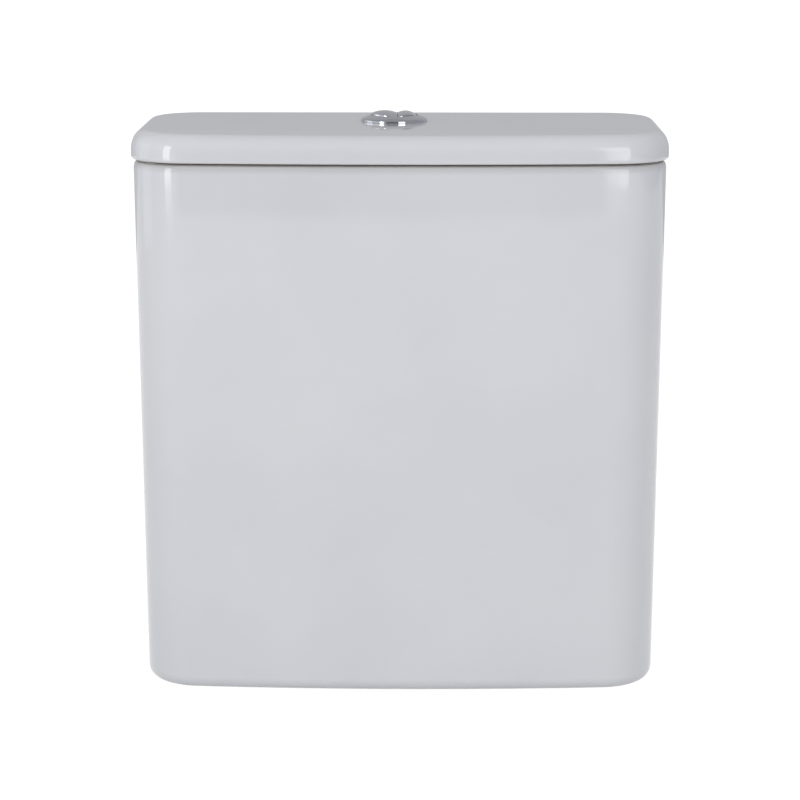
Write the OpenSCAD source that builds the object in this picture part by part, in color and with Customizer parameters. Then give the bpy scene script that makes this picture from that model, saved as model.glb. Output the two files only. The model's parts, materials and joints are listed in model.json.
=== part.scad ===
// Close-coupled toilet cistern with a dual-flush button on its lid.
// Millimetres: X to the right, the front towards -Y, the wall at +Y, Z up.
// The origin lies on the flush outlet's axis, in the plane of the tank's foot.

/* [Tank] */
// Width of the tank at its rim
tank_w_rim = 377; // [360:1:400]
// Width of the tank at its foot
tank_w_foot = 371; // [350:1:395]
// Depth of the tank at its rim, front to back
tank_d_rim = 170; // [166:1:185]
// Depth of the tank at its foot
tank_d_foot = 164; // [160:1:180]
// Height of the tank from its foot to its rim
tank_h = 383; // [365:1:400]
// Thickness of the tank's walls
tank_wall = 10; // [8:0.5:12]
// Thickness of the tank's floor
floor_t = 12; // [10:0.5:14]
// Height of the hollow foot under the floor
foot_h = 14; // [13:0.5:18]
// Thickness of the foot's wall
foot_wall = 12; // [9:0.5:13]
// Radius of the front corners seen from above
front_corner_r = 40; // [35:1:60]
// Radius of the back corners seen from above
back_corner_r = 40; // [20:1:45]
// Radius of the gentle bow of the front
front_bow_r = 2000; // [1000:50:2500]
// Height of the rounding round the rim
rim_round_h = 6.5; // [4:0.5:10]
// Depth of the rounding round the rim
rim_round_d = 2.5; // [2:0.5:5]
// Height of the rounding round the foot
foot_round_h = 9; // [3:0.5:12]
// Depth of the rounding round the foot
foot_round_d = 7; // [3:0.5:8]
// Distance from the outlet's axis to the wall behind the tank
outlet_to_wall = 62; // [60:1:70]
// Distance between the two wall-fixing holes
fixing_pitch = 200; // [160:5:240]
// Diameter of the wall-fixing holes
fixing_d = 8; // [6:0.5:10]
// Depth of the wall-fixing holes below the rim
fixing_drop = 45; // [35:1:60]

/* [Lid] */
// Overhang of the lid over each side of the rim
lid_overhang = 1.5; // [0:0.5:6]
// Overhang of the lid over the front of the rim
lid_front_overhang = 2.5; // [0:0.5:8]
// Height of the lid at its edge
lid_h = 20.5; // [18:0.5:26]
// Thickness of the lid's top
lid_t = 10; // [8:0.5:12]
// Width of the lid's rim
lid_rim = 18; // [16:0.5:22]
// Height of the rounding at the lid's upper edge
lid_round_h = 14.5; // [8:0.5:16]
// Depth of the rounding at the lid's upper edge
lid_round_d = 10; // [5:0.5:12]
// Depth of the rounding at the lid's lower edge
lid_tuck = 2.5; // [2:0.5:5]
// Space between the lid and the rim it lies on
lid_seat_gap = 0.3; // [0.2:0.1:1]
// Distance of the lid's back edge from the wall
lid_to_wall = 0.5; // [0:0.5:5]

/* [Button] */
// Diameter of the chromed bezel
bezel_d = 48; // [46:0.5:54]
// Height of the bezel's upright side
bezel_side_h = 1.2; // [1:0.1:2]
// Sideways offset of the button from the middle of the lid
button_x = -4.6; // [-5:0.1:-3.5]
// Distance of the split between the two buttons from the bezel's axis
split_x = 2.6; // [1:0.1:4]
// Radius of the full-flush button's dome
full_dome_r = 29; // [26:1:40]
// Radius of the half-flush button's dome
half_dome_r = 22; // [20:1:30]
// Travel of the buttons
press = 7; // [5:0.5:7]
// Diameter of the push rods
rod_d = 6; // [5:0.5:6.5]
// Diameter of the wire of the return springs
wire_d = 1.2; // [0.8:0.1:1.4]

/* [Flush valve] */
// Outside diameter of the threaded outlet tail
tail_d = 58; // [56:0.5:59]
// Inside diameter of the outlet
tail_bore_d = 46; // [42:0.5:48]
// Diameter of the plain nose under the thread
nose_d = 54; // [52:0.5:55]
// Outside diameter of the valve's flange
flange_d = 80; // [78:0.5:84]
// Outside diameter of the tower
tower_d = 66; // [64:0.5:70]
// Outside diameter of the overflow tube
tube_d = 24; // [22:0.5:24]
// Distance of the overflow tube's mouth below the rim
overflow_drop = 40; // [30:1:50]
// Distance of the rockers' pin below the rim
pin_drop = 86; // [80:1:100]
// Length of the rockers' arms under the push rods
pad_arm = 10.5; // [10:0.5:11.5]
// Length of the rockers' lifting arms
lift_arm = 12; // [11:0.5:13]

/* [Fill valve] */
// Sideways distance of the fill valve's axis from the coupling bolt beside it
fill_to_bolt = 42; // [38:0.5:46]
// Diameter of the inlet's thread
inlet_d = 20.95; // [20.5:0.05:21.2]
// Inside diameter of the inlet
inlet_bore_d = 14; // [12:0.5:15]
// Outside diameter of the float cup
float_d = 58; // [54:1:60]
// Height of the float cup
float_h = 60; // [50:1:65]
// Travel of the float
float_travel = 18; // [14:1:18]

/* [Coupling] */
// Distance between the two coupling bolts
bolt_pitch = 160; // [156:1:164]
// Diameter of the coupling bolts
bolt_d = 8; // [6:0.5:9]
// Diameter of the foam ring on the pan
gasket_d = 92; // [88:1:94]

/* [Hidden] */
$fn = 96;
cut = 1;
gap = 0.3;
fit = 0.05;

// Plan outlines and edge steps of the two castings
back_steps = 6;
front_steps = 12;
bow_steps = 10;
edge_steps = 5;
least_corner_r = 6;
wall_y = outlet_to_wall;
floor_z = foot_h + floor_t;
cove_r = 14;
foot_draft = 2;
floor_hole_gap = 2;
outlet_hole_r = tail_d / 2 + floor_hole_gap;
bolt_hole_r = bolt_d / 2 + floor_hole_gap;
inlet_hole_r = inlet_d / 2 + floor_hole_gap;

// Lid
lid_z = tank_h + lid_seat_gap;
lid_top = lid_z + lid_h;
lid_under = lid_top - lid_t;
lid_back = wall_y - lid_to_wall;
lid_w = tank_w_rim + 2 * lid_overhang;
lid_d = tank_d_rim + lid_front_overhang - lid_to_wall;
lid_draft = 6;
lug_len = 60;
lug_t = 6;
lug_drop = 8;
lug_rise = 6;
lug_gap = 3;

// Rockers and push rods
pin_z = tank_h - pin_drop;
pin_y = -11.5;
pin_r = 2;
arm_half_t = 1.5;
tip_r = 2.5;
rod_r = rod_d / 2;
rod_dy = -10.5;
full_rod_dx = -5.4;
half_rod_dx = 8;
rod_y = pin_y - pad_arm;
button_y = rod_y - rod_dy;
full_rod_x = button_x + full_rod_dx;
half_rod_x = button_x + half_rod_dx;
rod_tip_z = pin_z + arm_half_t + gap;

// Button set
gasket_t = 0.4;
gasket_in = 1.2;
bezel_z = lid_top + gasket_t;
bezel_r = bezel_d / 2;
bezel_lip = 7.1;
mouth_r = bezel_r - bezel_lip;
mouth_step = 1.3;
barrel_t = 2.3;
lid_hole_gap = 1;
barrel_in_r = mouth_r + mouth_step;
barrel_r = barrel_in_r + barrel_t;
lid_hole_r = barrel_r + lid_hole_gap;
shoulder_in = 1.1;
shoulder_rise = 0.9;
bezel_rise = 3.15;
bezel_edge = 0.4;
ledge_rise = 0.3;
ledge_z = bezel_z + bezel_side_h + ledge_rise;
crown_z = bezel_z + bezel_side_h + bezel_rise;
peak_rise = 3.25;
peak_z = crown_z + peak_rise;
button_r = mouth_r - gap;
skirt_r = barrel_in_r - gap;
skirt_top = ledge_z - gap;
skirt_h = 8;
skirt_z = skirt_top - skirt_h;
full_dome_x = (split_x - button_r) / 2;
half_dome_shift = 1.6;
half_dome_x = (split_x + button_r) / 2 - half_dome_shift;
half_dome_drop = 0.2;
boss_t = 1.2;
boss_r = rod_r + boss_t;
boss_h = 10;
socket_h = 9;
boss_z = skirt_z - boss_h;
rod_top = boss_z + socket_h - gap;
barrel_h = 48;
barrel_z = ledge_z - barrel_h;
guide_t = 3;
slide_gap = 0.35;
guide_hole_r = rod_r + slide_gap;
nut_h = 7;
nut_wall = 7.5;
nut_sides = 8;

// Return springs
wire_r = wire_d / 2;
spring_gap = 0.4;
spring_r = rod_r + wire_r + spring_gap;
spring_z0 = barrel_z + guide_t + wire_r + gap;
spring_z1 = boss_z - wire_r - gap;
spring_turns = 7;
end_space = 0.6;
end_pitch = wire_d + end_space;
turn_steps = 8;
wire_sides = 6;

// Flush valve
base_washer_t = 3;
flange_z = floor_z + base_washer_t;
flange_t = 4;
flange_r = flange_d / 2;
tail_r = tail_d / 2;
nose_r = nose_d / 2;
bore_r = tail_bore_d / 2;
tail_z = -15;
nose_z = -22;
seat_h = 3;
seat_w = 3;
seat_z = flange_z + flange_t + seat_h;
basket_step = 2;
basket_r = flange_r - basket_step;
basket_t = 2.5;
basket_z = flange_z + flange_t;
basket_h = 25;
basket_ring = 5;
port_w = 38;
port_sill = 2;
ports = 4;
port_turn = 360 / ports;
tower_r = tower_d / 2;
tower_t = 2.5;
tower_z = basket_z + basket_h;
tower_foot_h = 5;
plate_t = 5;
plate_rise = 10;
plate_z = pin_z - plate_rise - plate_t;
tower_cap_t = 4;
slot_w = 26;
slot_margin = 12;
slot_band = 10;
slot_h = (plate_z - tower_z - 3 * slot_margin - slot_band) / 2;
plate_over = 3;
plate_r = tower_r + plate_over;
tube_r = tube_d / 2;
tube_t = 2;
tube_hole_r = tube_r + slide_gap;
ear_t = 4;
ear_w = 9;
ear_x = 25;
inner_ear_x = 14;
inner_ear_t = 3;
hub_r = 4.5;
hub_gap = 0.4;
full_pad_w = 10;
half_pad_w = 7;
pad_over = 3;
finger_x = 21;
finger_w = 6;
collar_r = 13.5;
collar_h = 14;
collar_z = pin_z + tip_r + gap;
lug_lift_t = 4;
lug_lift_w = 8;
lug_reach = 24.5;
half_lug_rise = 8;
seal_t = 4;
seal_r = 30;
seal_z = seat_z + gap;
disc_t = 3;
disc_r = 29;
clamp_t = 4;
clamp_r = 19;
tube_end = 1;
tube_z = seal_z - clamp_t - tube_end;
tube_top = tank_h - overflow_drop;
float_gap_r = 3;
valve_float_r = tower_r - tower_t - float_gap_r;
valve_float_t = 2;
valve_float_rise = 60;
valve_float_z = tower_z + valve_float_rise;
valve_float_h = 55;

// Outlet's back nut and foam ring
outlet_nut_h = 11;
outlet_nut_r = 38;
outlet_nut_sides = 8;
foam_r = gasket_d / 2;
foam_z = tail_z + cut;
foam_step = 0.6;

// Fill valve
fill_x = bolt_pitch / 2 + fill_to_bolt;
inlet_r = inlet_d / 2;
inlet_neck_step = 0.28;
inlet_neck_r = inlet_r - inlet_neck_step;
inlet_bore_r = inlet_bore_d / 2;
inlet_z = -26;
inlet_washer_t = 3;
inlet_flange_r = 19;
inlet_flange_t = 4;
inlet_flange_z = floor_z + inlet_washer_t;
inlet_nut_r = 18.5;
inlet_nut_h = 8;
hex = 6;
shank_r = 14;
shank_drop = 185;
shank_top = tank_h - shank_drop;
riser_r = 11;
riser_t = 3;
riser_rise = 30;
riser_z = inlet_flange_z + riser_rise;
lock_r = 18;
lock_h = 6;
head_drop = 90;
head_z = tank_h - head_drop;
head_r = 16;
head_h = 33;
head_socket = 15;
chamber_r = 13;
chamber_h = 13;
diaphragm_t = 2;
diaphragm_rise = 5;
diaphragm_z = head_z + head_h - chamber_h + diaphragm_rise;
cap_r = 17.5;
cap_h = 8;
cap_z = head_z + head_h;
lever_pin_rise = 11;
lever_pin_z = cap_z + cap_h + lever_pin_rise;
lever_pin_x = 10;
lever_pin_r = 1.5;
lever_hub_r = 4;
lever_w = 11;
lever_t = 3;
lever_ear_t = 3;
lever_ear_w = 8;
link_x = -26;
link_r = 2;
link_arm = lever_pin_x - link_x;
lever_tilt = float_travel / link_arm / 2 * 180 / PI;
lever_tail = 5;
lever_over = 8;
slot_half = 3.8;
slot_shift = 0.6;
slot_mid = link_arm + slot_shift;
slot_half_w = 2.5;
float_z = shank_top + lock_h + gap;
float_r = float_d / 2;
float_t = 2;
float_bore_r = riser_r + slide_gap;
float_boss_r = 4.5;
float_boss_h = 8;
link_rise = 1;
link_z = float_z + float_h + link_rise;
link_mark = lever_pin_z - link_arm * tan(lever_tilt);
link_play = 3.2;
link_collar_r = 3.6;
link_collar_h = 2;
link_end = 3;
strainer_h = 18;
strainer_t = 1.4;

// Coupling bolts
bolt_r = bolt_d / 2;
bolt_neck_step = 0.2;
bolt_neck_r = bolt_r - bolt_neck_step;
bolt_z = -28;
bolt_rubber_t = 5;
bolt_rubber_r = 13;
bolt_washer_t = 1.6;
bolt_washer_r = 11;
bolt_head_h = 5.3;
bolt_head_ratio = 0.94;
bolt_head_r = bolt_d * bolt_head_ratio;
bolt_nut_h = 6.5;
bolt_seat_z = floor_z + bolt_rubber_t + bolt_washer_t;
bolt_nut_z = foot_h - bolt_washer_t - bolt_nut_h;
bolt_relief = 0.5;

// Points of an arc, with some left out at either end
function arc(c, r, a0, a1, n, skip = 0) = [
  for (i = [skip : n - skip])
    [c[0] + r * cos(a0 + (a1 - a0) * i / n), c[1] + r * sin(a0 + (a1 - a0) * i / n)]
];

// Outline from above: straight back and sides, rounded corners, bowed front
function plan(w, d, back, rf0, rb0, inset) =
  let (hw = w / 2 - inset)
  let (rf = max(rf0 - inset, least_corner_r))
  let (rb = max(rb0 - inset, least_corner_r))
  let (bow = front_bow_r - inset)
  let (yb = back - inset)
  let (yf = back - d + inset)
  let (cy = yf + bow - sqrt(pow(bow - rf, 2) - pow(hw - rf, 2)))
  let (turn = atan2(cy - yf - bow, hw - rf))
  concat(
    arc([hw - rb, yb - rb], rb, 0, 90, back_steps),
    arc([-hw + rb, yb - rb], rb, 90, 180, back_steps),
    arc([-hw + rf, cy], rf, 180, 180 - turn, front_steps),
    arc([0, yf + bow], bow, 180 - turn, 360 + turn, bow_steps, 1),
    arc([hw - rf, cy], rf, 360 + turn, 360, front_steps)
  );

function tank_w(z) = tank_w_foot + (tank_w_rim - tank_w_foot) * z / tank_h;
function tank_d(z) = tank_d_foot + (tank_d_rim - tank_d_foot) * z / tank_h;

// Outlines of the tank and of the lid as [height, inset] pairs turned into rings
function tank_rings(edge) = [
  for (e = edge)
    [e[0], plan(tank_w(e[0]), tank_d(e[0]), wall_y, front_corner_r, back_corner_r, e[1])]
];
function lid_rings(edge) = [
  for (e = edge)
    [e[0], plan(lid_w, lid_d, lid_back, front_corner_r + lid_overhang, back_corner_r + lid_overhang, e[1])]
];

// Quarter-ellipse edges as [height, inset] pairs
function lower_edge(z, h, d, inset = 0) = [
  for (i = [0 : edge_steps])
    [z + h * (1 - cos(90 * i / edge_steps)), inset + d * (1 - sin(90 * i / edge_steps))]
];
function upper_edge(z, h, d) = [
  for (i = [0 : edge_steps])
    [z - h * (1 - sin(90 * i / edge_steps)), d * (1 - cos(90 * i / edge_steps))]
];

// Solid skinned over a stack of rings
module loft(rings) {
  n = len(rings[0][1]);
  m = len(rings);
  points = [for (r = rings) for (p = r[1]) [p[0], p[1], r[0]]];
  sides = [
    for (j = [0 : m - 2])
      for (i = [0 : n - 1])
        for (s = [0, 1])
          s == 0
            ? [j * n + i, (j + 1) * n + i, (j + 1) * n + (i + 1) % n]
            : [j * n + i, (j + 1) * n + (i + 1) % n, j * n + (i + 1) % n]
  ];
  foot = [[for (i = [0 : n - 1]) i]];
  head = [[for (i = [0 : n - 1]) m * n - 1 - i]];
  polyhedron(points = points, faces = concat(foot, sides, head));
}

module rod(r, z0, z1) {
  translate([0, 0, z0]) cylinder(r = r, h = z1 - z0);
}

module hole(r, z0, z1) {
  rod(r, z0 - cut, z1 + cut);
}

module ring(r, bore, z0, z1) {
  difference() {
    rod(r, z0, z1);
    hole(bore, z0, z1);
  }
}

module bar_x(r, x0, x1) {
  translate([x0, 0, 0]) rotate([0, 90, 0]) cylinder(r = r, h = x1 - x0);
}

module bar_y(r, half) {
  translate([0, half, 0]) rotate([90, 0, 0]) cylinder(r = r, h = 2 * half);
}

module block(x0, x1, y0, y1, z0, z1) {
  translate([x0, y0, z0]) cube([x1 - x0, y1 - y0, z1 - z0]);
}

module on_bolts() {
  translate([-bolt_pitch / 2, 0, 0]) children();
  translate([bolt_pitch / 2, 0, 0]) children();
}

module on_fill() {
  translate([fill_x, 0, 0]) children();
}

module on_button() {
  translate([button_x, button_y, 0]) children();
}

// Glazed tank: tapered shell, recessed floor on a foot, holes for outlet, bolts, inlet and wall screws
module tank() {
  outer = concat(
    lower_edge(0, foot_round_h, foot_round_d),
    upper_edge(tank_h, rim_round_h, rim_round_d)
  );
  inner = concat(lower_edge(floor_z, cove_r, cove_r, tank_wall), [[tank_h + cut, tank_wall]]);
  under = [[-cut, foot_wall], [foot_h, foot_wall + foot_draft]];
  color("white") difference() {
    loft(tank_rings(outer));
    loft(tank_rings(inner));
    loft(tank_rings(under));
    hole(outlet_hole_r, foot_h, floor_z);
    on_bolts() hole(bolt_hole_r, foot_h, floor_z);
    on_fill() hole(inlet_hole_r, foot_h, floor_z);
    for (side = [-1, 1])
      translate([side * fixing_pitch / 2, wall_y - tank_wall / 2, tank_h - fixing_drop])
        bar_y(fixing_d / 2, tank_wall);
  }
}

// Glazed lid: rounded slab, hollow below, with four lugs that locate it inside the rim
module lid() {
  edge = concat(
    lower_edge(0, lid_h - lid_round_h, lid_tuck),
    [for (i = [1 : edge_steps]) upper_edge(lid_h, lid_round_h, lid_round_d)[i]]
  );
  under = [[-cut, lid_rim], [lid_h - lid_t, lid_rim + lid_draft]];
  side_x = tank_w_rim / 2 - tank_wall - lug_gap;
  front_y = wall_y - tank_d_rim + tank_wall + lug_gap;
  rear_y = wall_y - tank_wall - lug_gap;
  mid_y = (front_y + rear_y) / 2;
  color("white") translate([0, 0, lid_z]) difference() {
    union() {
      difference() {
        loft(lid_rings(edge));
        loft(lid_rings(under));
      }
      for (side = [-1, 1])
        translate([side * (side_x - lug_t / 2), mid_y, 0])
          block(-lug_t / 2, lug_t / 2, -lug_len / 2, lug_len / 2, -lug_drop, lug_rise);
      block(-lug_len / 2, lug_len / 2, front_y, front_y + lug_t, -lug_drop, lug_rise);
      block(-lug_len / 2, lug_len / 2, rear_y - lug_t, rear_y, -lug_drop, lug_rise);
    }
    on_button() hole(lid_hole_r, 0, lid_h);
  }
}

// Chromed bezel: upright side, shoulder, shallow cone, ledge over the barrel
module button_bezel() {
  profile = [
    [barrel_r + fit, bezel_z],
    [bezel_r, bezel_z],
    [bezel_r, bezel_z + bezel_side_h],
    [bezel_r - shoulder_in, bezel_z + bezel_side_h + shoulder_rise],
    [mouth_r + bezel_edge, crown_z],
    [mouth_r, crown_z - bezel_edge],
    [mouth_r, ledge_z],
    [barrel_r + fit, ledge_z]
  ];
  color("silver") on_button() rotate_extrude() polygon(profile);
}

module bezel_gasket() {
  color("gainsboro") on_button() ring(bezel_r - gasket_in, barrel_r + fit, lid_top, bezel_z);
}

// Barrel through the lid, with a guide for the push rods in its foot
module button_barrel() {
  color("whitesmoke") difference() {
    on_button() difference() {
      rod(barrel_r, barrel_z, ledge_z);
      rod(barrel_in_r, barrel_z + guide_t, ledge_z + cut);
    }
    translate([full_rod_x, rod_y, 0]) hole(guide_hole_r, barrel_z, barrel_z + guide_t);
    translate([half_rod_x, rod_y, 0]) hole(guide_hole_r, barrel_z, barrel_z + guide_t);
  }
}

module barrel_nut() {
  color("whitesmoke") on_button() difference() {
    translate([0, 0, lid_under - nut_h]) cylinder(r = barrel_r + nut_wall, h = nut_h, $fn = nut_sides);
    hole(barrel_r + fit, lid_under - nut_h, lid_under);
  }
}

// Domed button on one side of the split, with the socket of its push rod
module push_button(side, dome_r, dome_x, drop, rod_dx) {
  difference() {
    union() {
      intersection() {
        union() {
          intersection() {
            rod(button_r, skirt_z, peak_z + cut);
            translate([dome_x, 0, peak_z - drop - dome_r]) sphere(r = dome_r);
          }
          rod(skirt_r, skirt_z, skirt_top);
        }
        translate([split_x + side * (gap + bezel_r), 0, skirt_z - cut])
          block(-bezel_r, bezel_r, -bezel_r, bezel_r, 0, peak_z - skirt_z + 2 * cut);
      }
      translate([rod_dx, rod_dy, 0]) rod(boss_r, boss_z, skirt_z + cut);
    }
    translate([rod_dx, rod_dy, 0]) rod(rod_r + fit, boss_z - cut, boss_z + socket_h);
  }
}

module full_flush_button() {
  color("silver") on_button() push_button(-1, full_dome_r, full_dome_x, 0, full_rod_dx);
}

module half_flush_button() {
  color("silver") on_button() push_button(1, half_dome_r, half_dome_x, half_dome_drop, half_rod_dx);
}

// Height of the spring's wire after a number of turns: close at both ends, open between
function coil_z(t) =
  let (open_pitch = (spring_z1 - spring_z0 - 2 * end_pitch) / (spring_turns - 2))
  t < 1 ? spring_z0 + end_pitch * t
  : t > spring_turns - 1 ? spring_z1 - end_pitch * (spring_turns - t)
  : spring_z0 + end_pitch + open_pitch * (t - 1);

module coil_spring() {
  steps = spring_turns * turn_steps;
  points = [
    for (i = [0 : steps])
      for (k = [0 : wire_sides - 1])
        let (a = 360 * i / turn_steps)
        let (b = 360 * k / wire_sides)
        let (r = spring_r + wire_r * cos(b))
        [r * cos(a), r * sin(a), coil_z(i / turn_steps) + wire_r * sin(b)]
  ];
  sides = [
    for (i = [0 : steps - 1])
      for (k = [0 : wire_sides - 1])
        for (s = [0, 1])
          let (k1 = (k + 1) % wire_sides)
          s == 0
            ? [i * wire_sides + k, i * wire_sides + k1, (i + 1) * wire_sides + k1]
            : [i * wire_sides + k, (i + 1) * wire_sides + k1, (i + 1) * wire_sides + k]
  ];
  start = [[for (k = [0 : wire_sides - 1]) wire_sides - 1 - k]];
  finish = [[for (k = [0 : wire_sides - 1]) steps * wire_sides + k]];
  turns = [
    for (i = [0 : steps])
      let (a = 360 * i / turn_steps)
      [cos(a), sin(a), coil_z(i / turn_steps)]
  ];
  space = min([
    for (i = [0 : steps])
      for (j = [i + turn_steps / 2 : 1 : steps])
        norm([
          spring_r * (turns[i][0] - turns[j][0]),
          spring_r * (turns[i][1] - turns[j][1]),
          turns[i][2] - turns[j][2]
        ]) - wire_d
  ]);
  echo(least_space_between_turns = space);
  polyhedron(points = points, faces = concat(start, sides, finish));
}

module full_button_spring() {
  color("lightgray") translate([full_rod_x, rod_y, 0]) coil_spring();
}

module half_button_spring() {
  color("lightgray") translate([half_rod_x, rod_y, 0]) coil_spring();
}

// Push rod with a round tip over its rocker
module push_rod() {
  translate([0, 0, rod_tip_z + rod_r]) sphere(r = rod_r);
  rod(rod_r, rod_tip_z + rod_r, rod_top);
}

module full_push_rod() {
  color("white") translate([full_rod_x, rod_y, 0]) push_rod();
}

module half_push_rod() {
  color("steelblue") translate([half_rod_x, rod_y, 0]) push_rod();
}

// Valve base: outlet tail and nose, flange, seat lip, basket with four ports
module valve_base() {
  profile = [
    [bore_r, nose_z],
    [nose_r, nose_z],
    [nose_r, tail_z],
    [tail_r, tail_z],
    [tail_r, flange_z],
    [flange_r, flange_z],
    [flange_r, basket_z],
    [bore_r + seat_w, basket_z],
    [bore_r + seat_w, seat_z],
    [bore_r, seat_z]
  ];
  color("white") difference() {
    union() {
      rotate_extrude() polygon(profile);
      ring(basket_r, basket_r - basket_t, basket_z - cut, tower_z);
    }
    for (i = [0 : ports - 1])
      rotate((i + 0.5) * port_turn)
        block(
          basket_r / 2, basket_r + cut, -port_w / 2, port_w / 2,
          basket_z + port_sill, tower_z - basket_ring
        );
  }
}

module base_washer() {
  color("dimgray") ring(flange_r - cut, tail_r + fit, floor_z, flange_z);
}

module outlet_nut() {
  color("white") difference() {
    translate([0, 0, foot_h - outlet_nut_h])
      cylinder(r = outlet_nut_r, h = outlet_nut_h, $fn = outlet_nut_sides);
    hole(tail_r + fit, foot_h - outlet_nut_h, foot_h);
  }
}

// Foam ring: sits over the back nut and seals on the pan
module coupling_gasket() {
  nut_z = foot_h - outlet_nut_h;
  color("dimgray") difference() {
    rod(foam_r, foam_z, foot_h);
    hole(tail_r + fit, foam_z, foot_h);
    rod(outlet_nut_r + foam_step, nut_z, foot_h + cut);
  }
}

// Tower: cage on the basket, closed at the top by a guide for the overflow tube
module valve_tower() {
  color("whitesmoke") difference() {
    union() {
      rod(basket_r, tower_z, tower_z + tower_foot_h);
      rod(tower_r, tower_z, plate_z);
    }
    rod(tower_r - tower_t, tower_z - cut, plate_z - tower_cap_t);
    hole(tube_hole_r, tower_z, plate_z);
    for (i = [0 : ports - 1])
      rotate(i * port_turn)
        for (k = [0, 1])
          block(
            tower_r / 2, tower_r + cut, -slot_w / 2, slot_w / 2,
            tower_z + slot_margin + k * (slot_h + slot_band),
            tower_z + slot_margin + k * (slot_h + slot_band) + slot_h
          );
  }
}

module ear(x0, x1) {
  block(x0, x1, pin_y - ear_w / 2, pin_y + ear_w / 2, plate_z + plate_t - cut, pin_z);
  translate([0, pin_y, pin_z]) bar_x(ear_w / 2, x0, x1);
}

// Bridge: plate on the tower with two ears on either side of the tube for the rockers' pins
module valve_bridge() {
  color("lightgray") difference() {
    union() {
      rod(plate_r, plate_z, plate_z + plate_t);
      ear(-ear_x - ear_t, -ear_x);
      ear(-inner_ear_x - inner_ear_t, -inner_ear_x);
      ear(inner_ear_x, inner_ear_x + inner_ear_t);
      ear(ear_x, ear_x + ear_t);
    }
    hole(tube_hole_r, plate_z, plate_z + plate_t);
    translate([0, pin_y, pin_z]) bar_x(pin_r + fit, -ear_x - ear_t - cut, ear_x + ear_t + cut);
  }
}

module rocker_pin() {
  color("silver") translate([0, pin_y, pin_z]) {
    bar_x(pin_r, -ear_x - ear_t, -inner_ear_x);
    bar_x(pin_r, inner_ear_x, ear_x + ear_t);
  }
}

// Rocker: hub on its pin, arm with a pad under the push rod, finger beside the overflow tube
module rocker(side, rod_x, pad_w) {
  x0 = inner_ear_x + inner_ear_t + hub_gap;
  x1 = ear_x - hub_gap;
  low = side < 0 ? -x1 : x0;
  high = side < 0 ? -x0 : x1;
  pad_low = side < 0 ? low : rod_x - pad_w / 2;
  pad_high = side < 0 ? rod_x + pad_w / 2 : high;
  translate([0, pin_y, pin_z]) difference() {
    union() {
      bar_x(hub_r, low, high);
      block(low, high, -pad_arm - pad_over, 0, -arm_half_t, arm_half_t);
      block(pad_low, pad_high, -pad_arm - pad_over, -pad_arm + pad_over, -arm_half_t, arm_half_t);
      translate([side * finger_x, 0, 0])
        block(-finger_w / 2, finger_w / 2, 0, lift_arm, -arm_half_t, arm_half_t);
      translate([side * finger_x, lift_arm, 0]) bar_x(tip_r, -finger_w / 2, finger_w / 2);
    }
    bar_x(pin_r + fit, -ear_x, ear_x);
  }
}

module full_flush_rocker() {
  color("white") rocker(-1, full_rod_x, full_pad_w);
}

module half_flush_rocker() {
  color("steelblue") rocker(1, half_rod_x, half_pad_w);
}

// Overflow tube with the disc that backs the seal
module overflow_tube() {
  color("whitesmoke") difference() {
    union() {
      rod(tube_r, tube_z, tube_top);
      rod(disc_r, seal_z + seal_t, seal_z + seal_t + disc_t);
    }
    hole(tube_r - tube_t, tube_z, tube_top);
  }
}

// Collar on the tube with a low lug for the full-flush rocker and a high one for the half-flush rocker
module lift_collar() {
  tip_y = pin_y + lift_arm;
  color("lightgray") difference() {
    union() {
      rod(collar_r, collar_z, collar_z + collar_h);
      block(
        -lug_reach, 0, tip_y - lug_lift_w / 2, tip_y + lug_lift_w / 2,
        collar_z, collar_z + lug_lift_t
      );
      block(
        0, lug_reach, tip_y - lug_lift_w / 2, tip_y + lug_lift_w / 2,
        collar_z + half_lug_rise, collar_z + half_lug_rise + lug_lift_t
      );
    }
    hole(tube_r + fit, collar_z, collar_z + collar_h);
  }
}

module flush_seal() {
  color("firebrick") ring(seal_r, tube_r + fit, seal_z, seal_z + seal_t);
}

module seal_clamp() {
  color("white") ring(clamp_r, tube_r + fit, seal_z - clamp_t, seal_z);
}

// Float: inverted cup on the overflow tube
module flush_float() {
  top = valve_float_z + valve_float_h;
  color("lightblue") difference() {
    rod(valve_float_r, valve_float_z, top);
    difference() {
      rod(valve_float_r - valve_float_t, valve_float_z - cut, top - valve_float_t);
      rod(tube_r + fit + valve_float_t, valve_float_z - 2 * cut, top);
    }
    hole(tube_r + fit, valve_float_z, top);
  }
}

// Fill valve's lower tube: threaded inlet tail, neck through the floor, flange, outer tube
module fill_shank() {
  color("white") on_fill() difference() {
    union() {
      rod(inlet_r, inlet_z, foot_h - inlet_nut_h - bolt_relief);
      rod(inlet_neck_r, inlet_z, inlet_flange_z + cut);
      rod(inlet_flange_r, inlet_flange_z, inlet_flange_z + inlet_flange_t);
      rod(shank_r, inlet_flange_z, shank_top);
    }
    hole(inlet_bore_r, inlet_z, shank_top);
    rod(riser_r + fit, riser_z, shank_top + cut);
  }
}

module inlet_washer() {
  color("dimgray") on_fill() ring(inlet_flange_r - cut, inlet_neck_r + fit, floor_z, inlet_flange_z);
}

module inlet_nut() {
  color("white") on_fill() difference() {
    translate([0, 0, foot_h - inlet_nut_h]) cylinder(r = inlet_nut_r, h = inlet_nut_h, $fn = hex);
    hole(inlet_neck_r + fit, foot_h - inlet_nut_h, foot_h);
  }
}

// Strainer: small cup in the inlet's bore
module inlet_strainer() {
  color("steelblue") on_fill() difference() {
    rod(inlet_bore_r - fit, inlet_z + cut, inlet_z + cut + strainer_h);
    rod(inlet_bore_r - strainer_t, inlet_z, inlet_z + cut + strainer_h - strainer_t);
  }
}

module fill_riser() {
  color("whitesmoke") on_fill() ring(riser_r, riser_r - riser_t, riser_z, head_z + head_socket);
}

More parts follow.
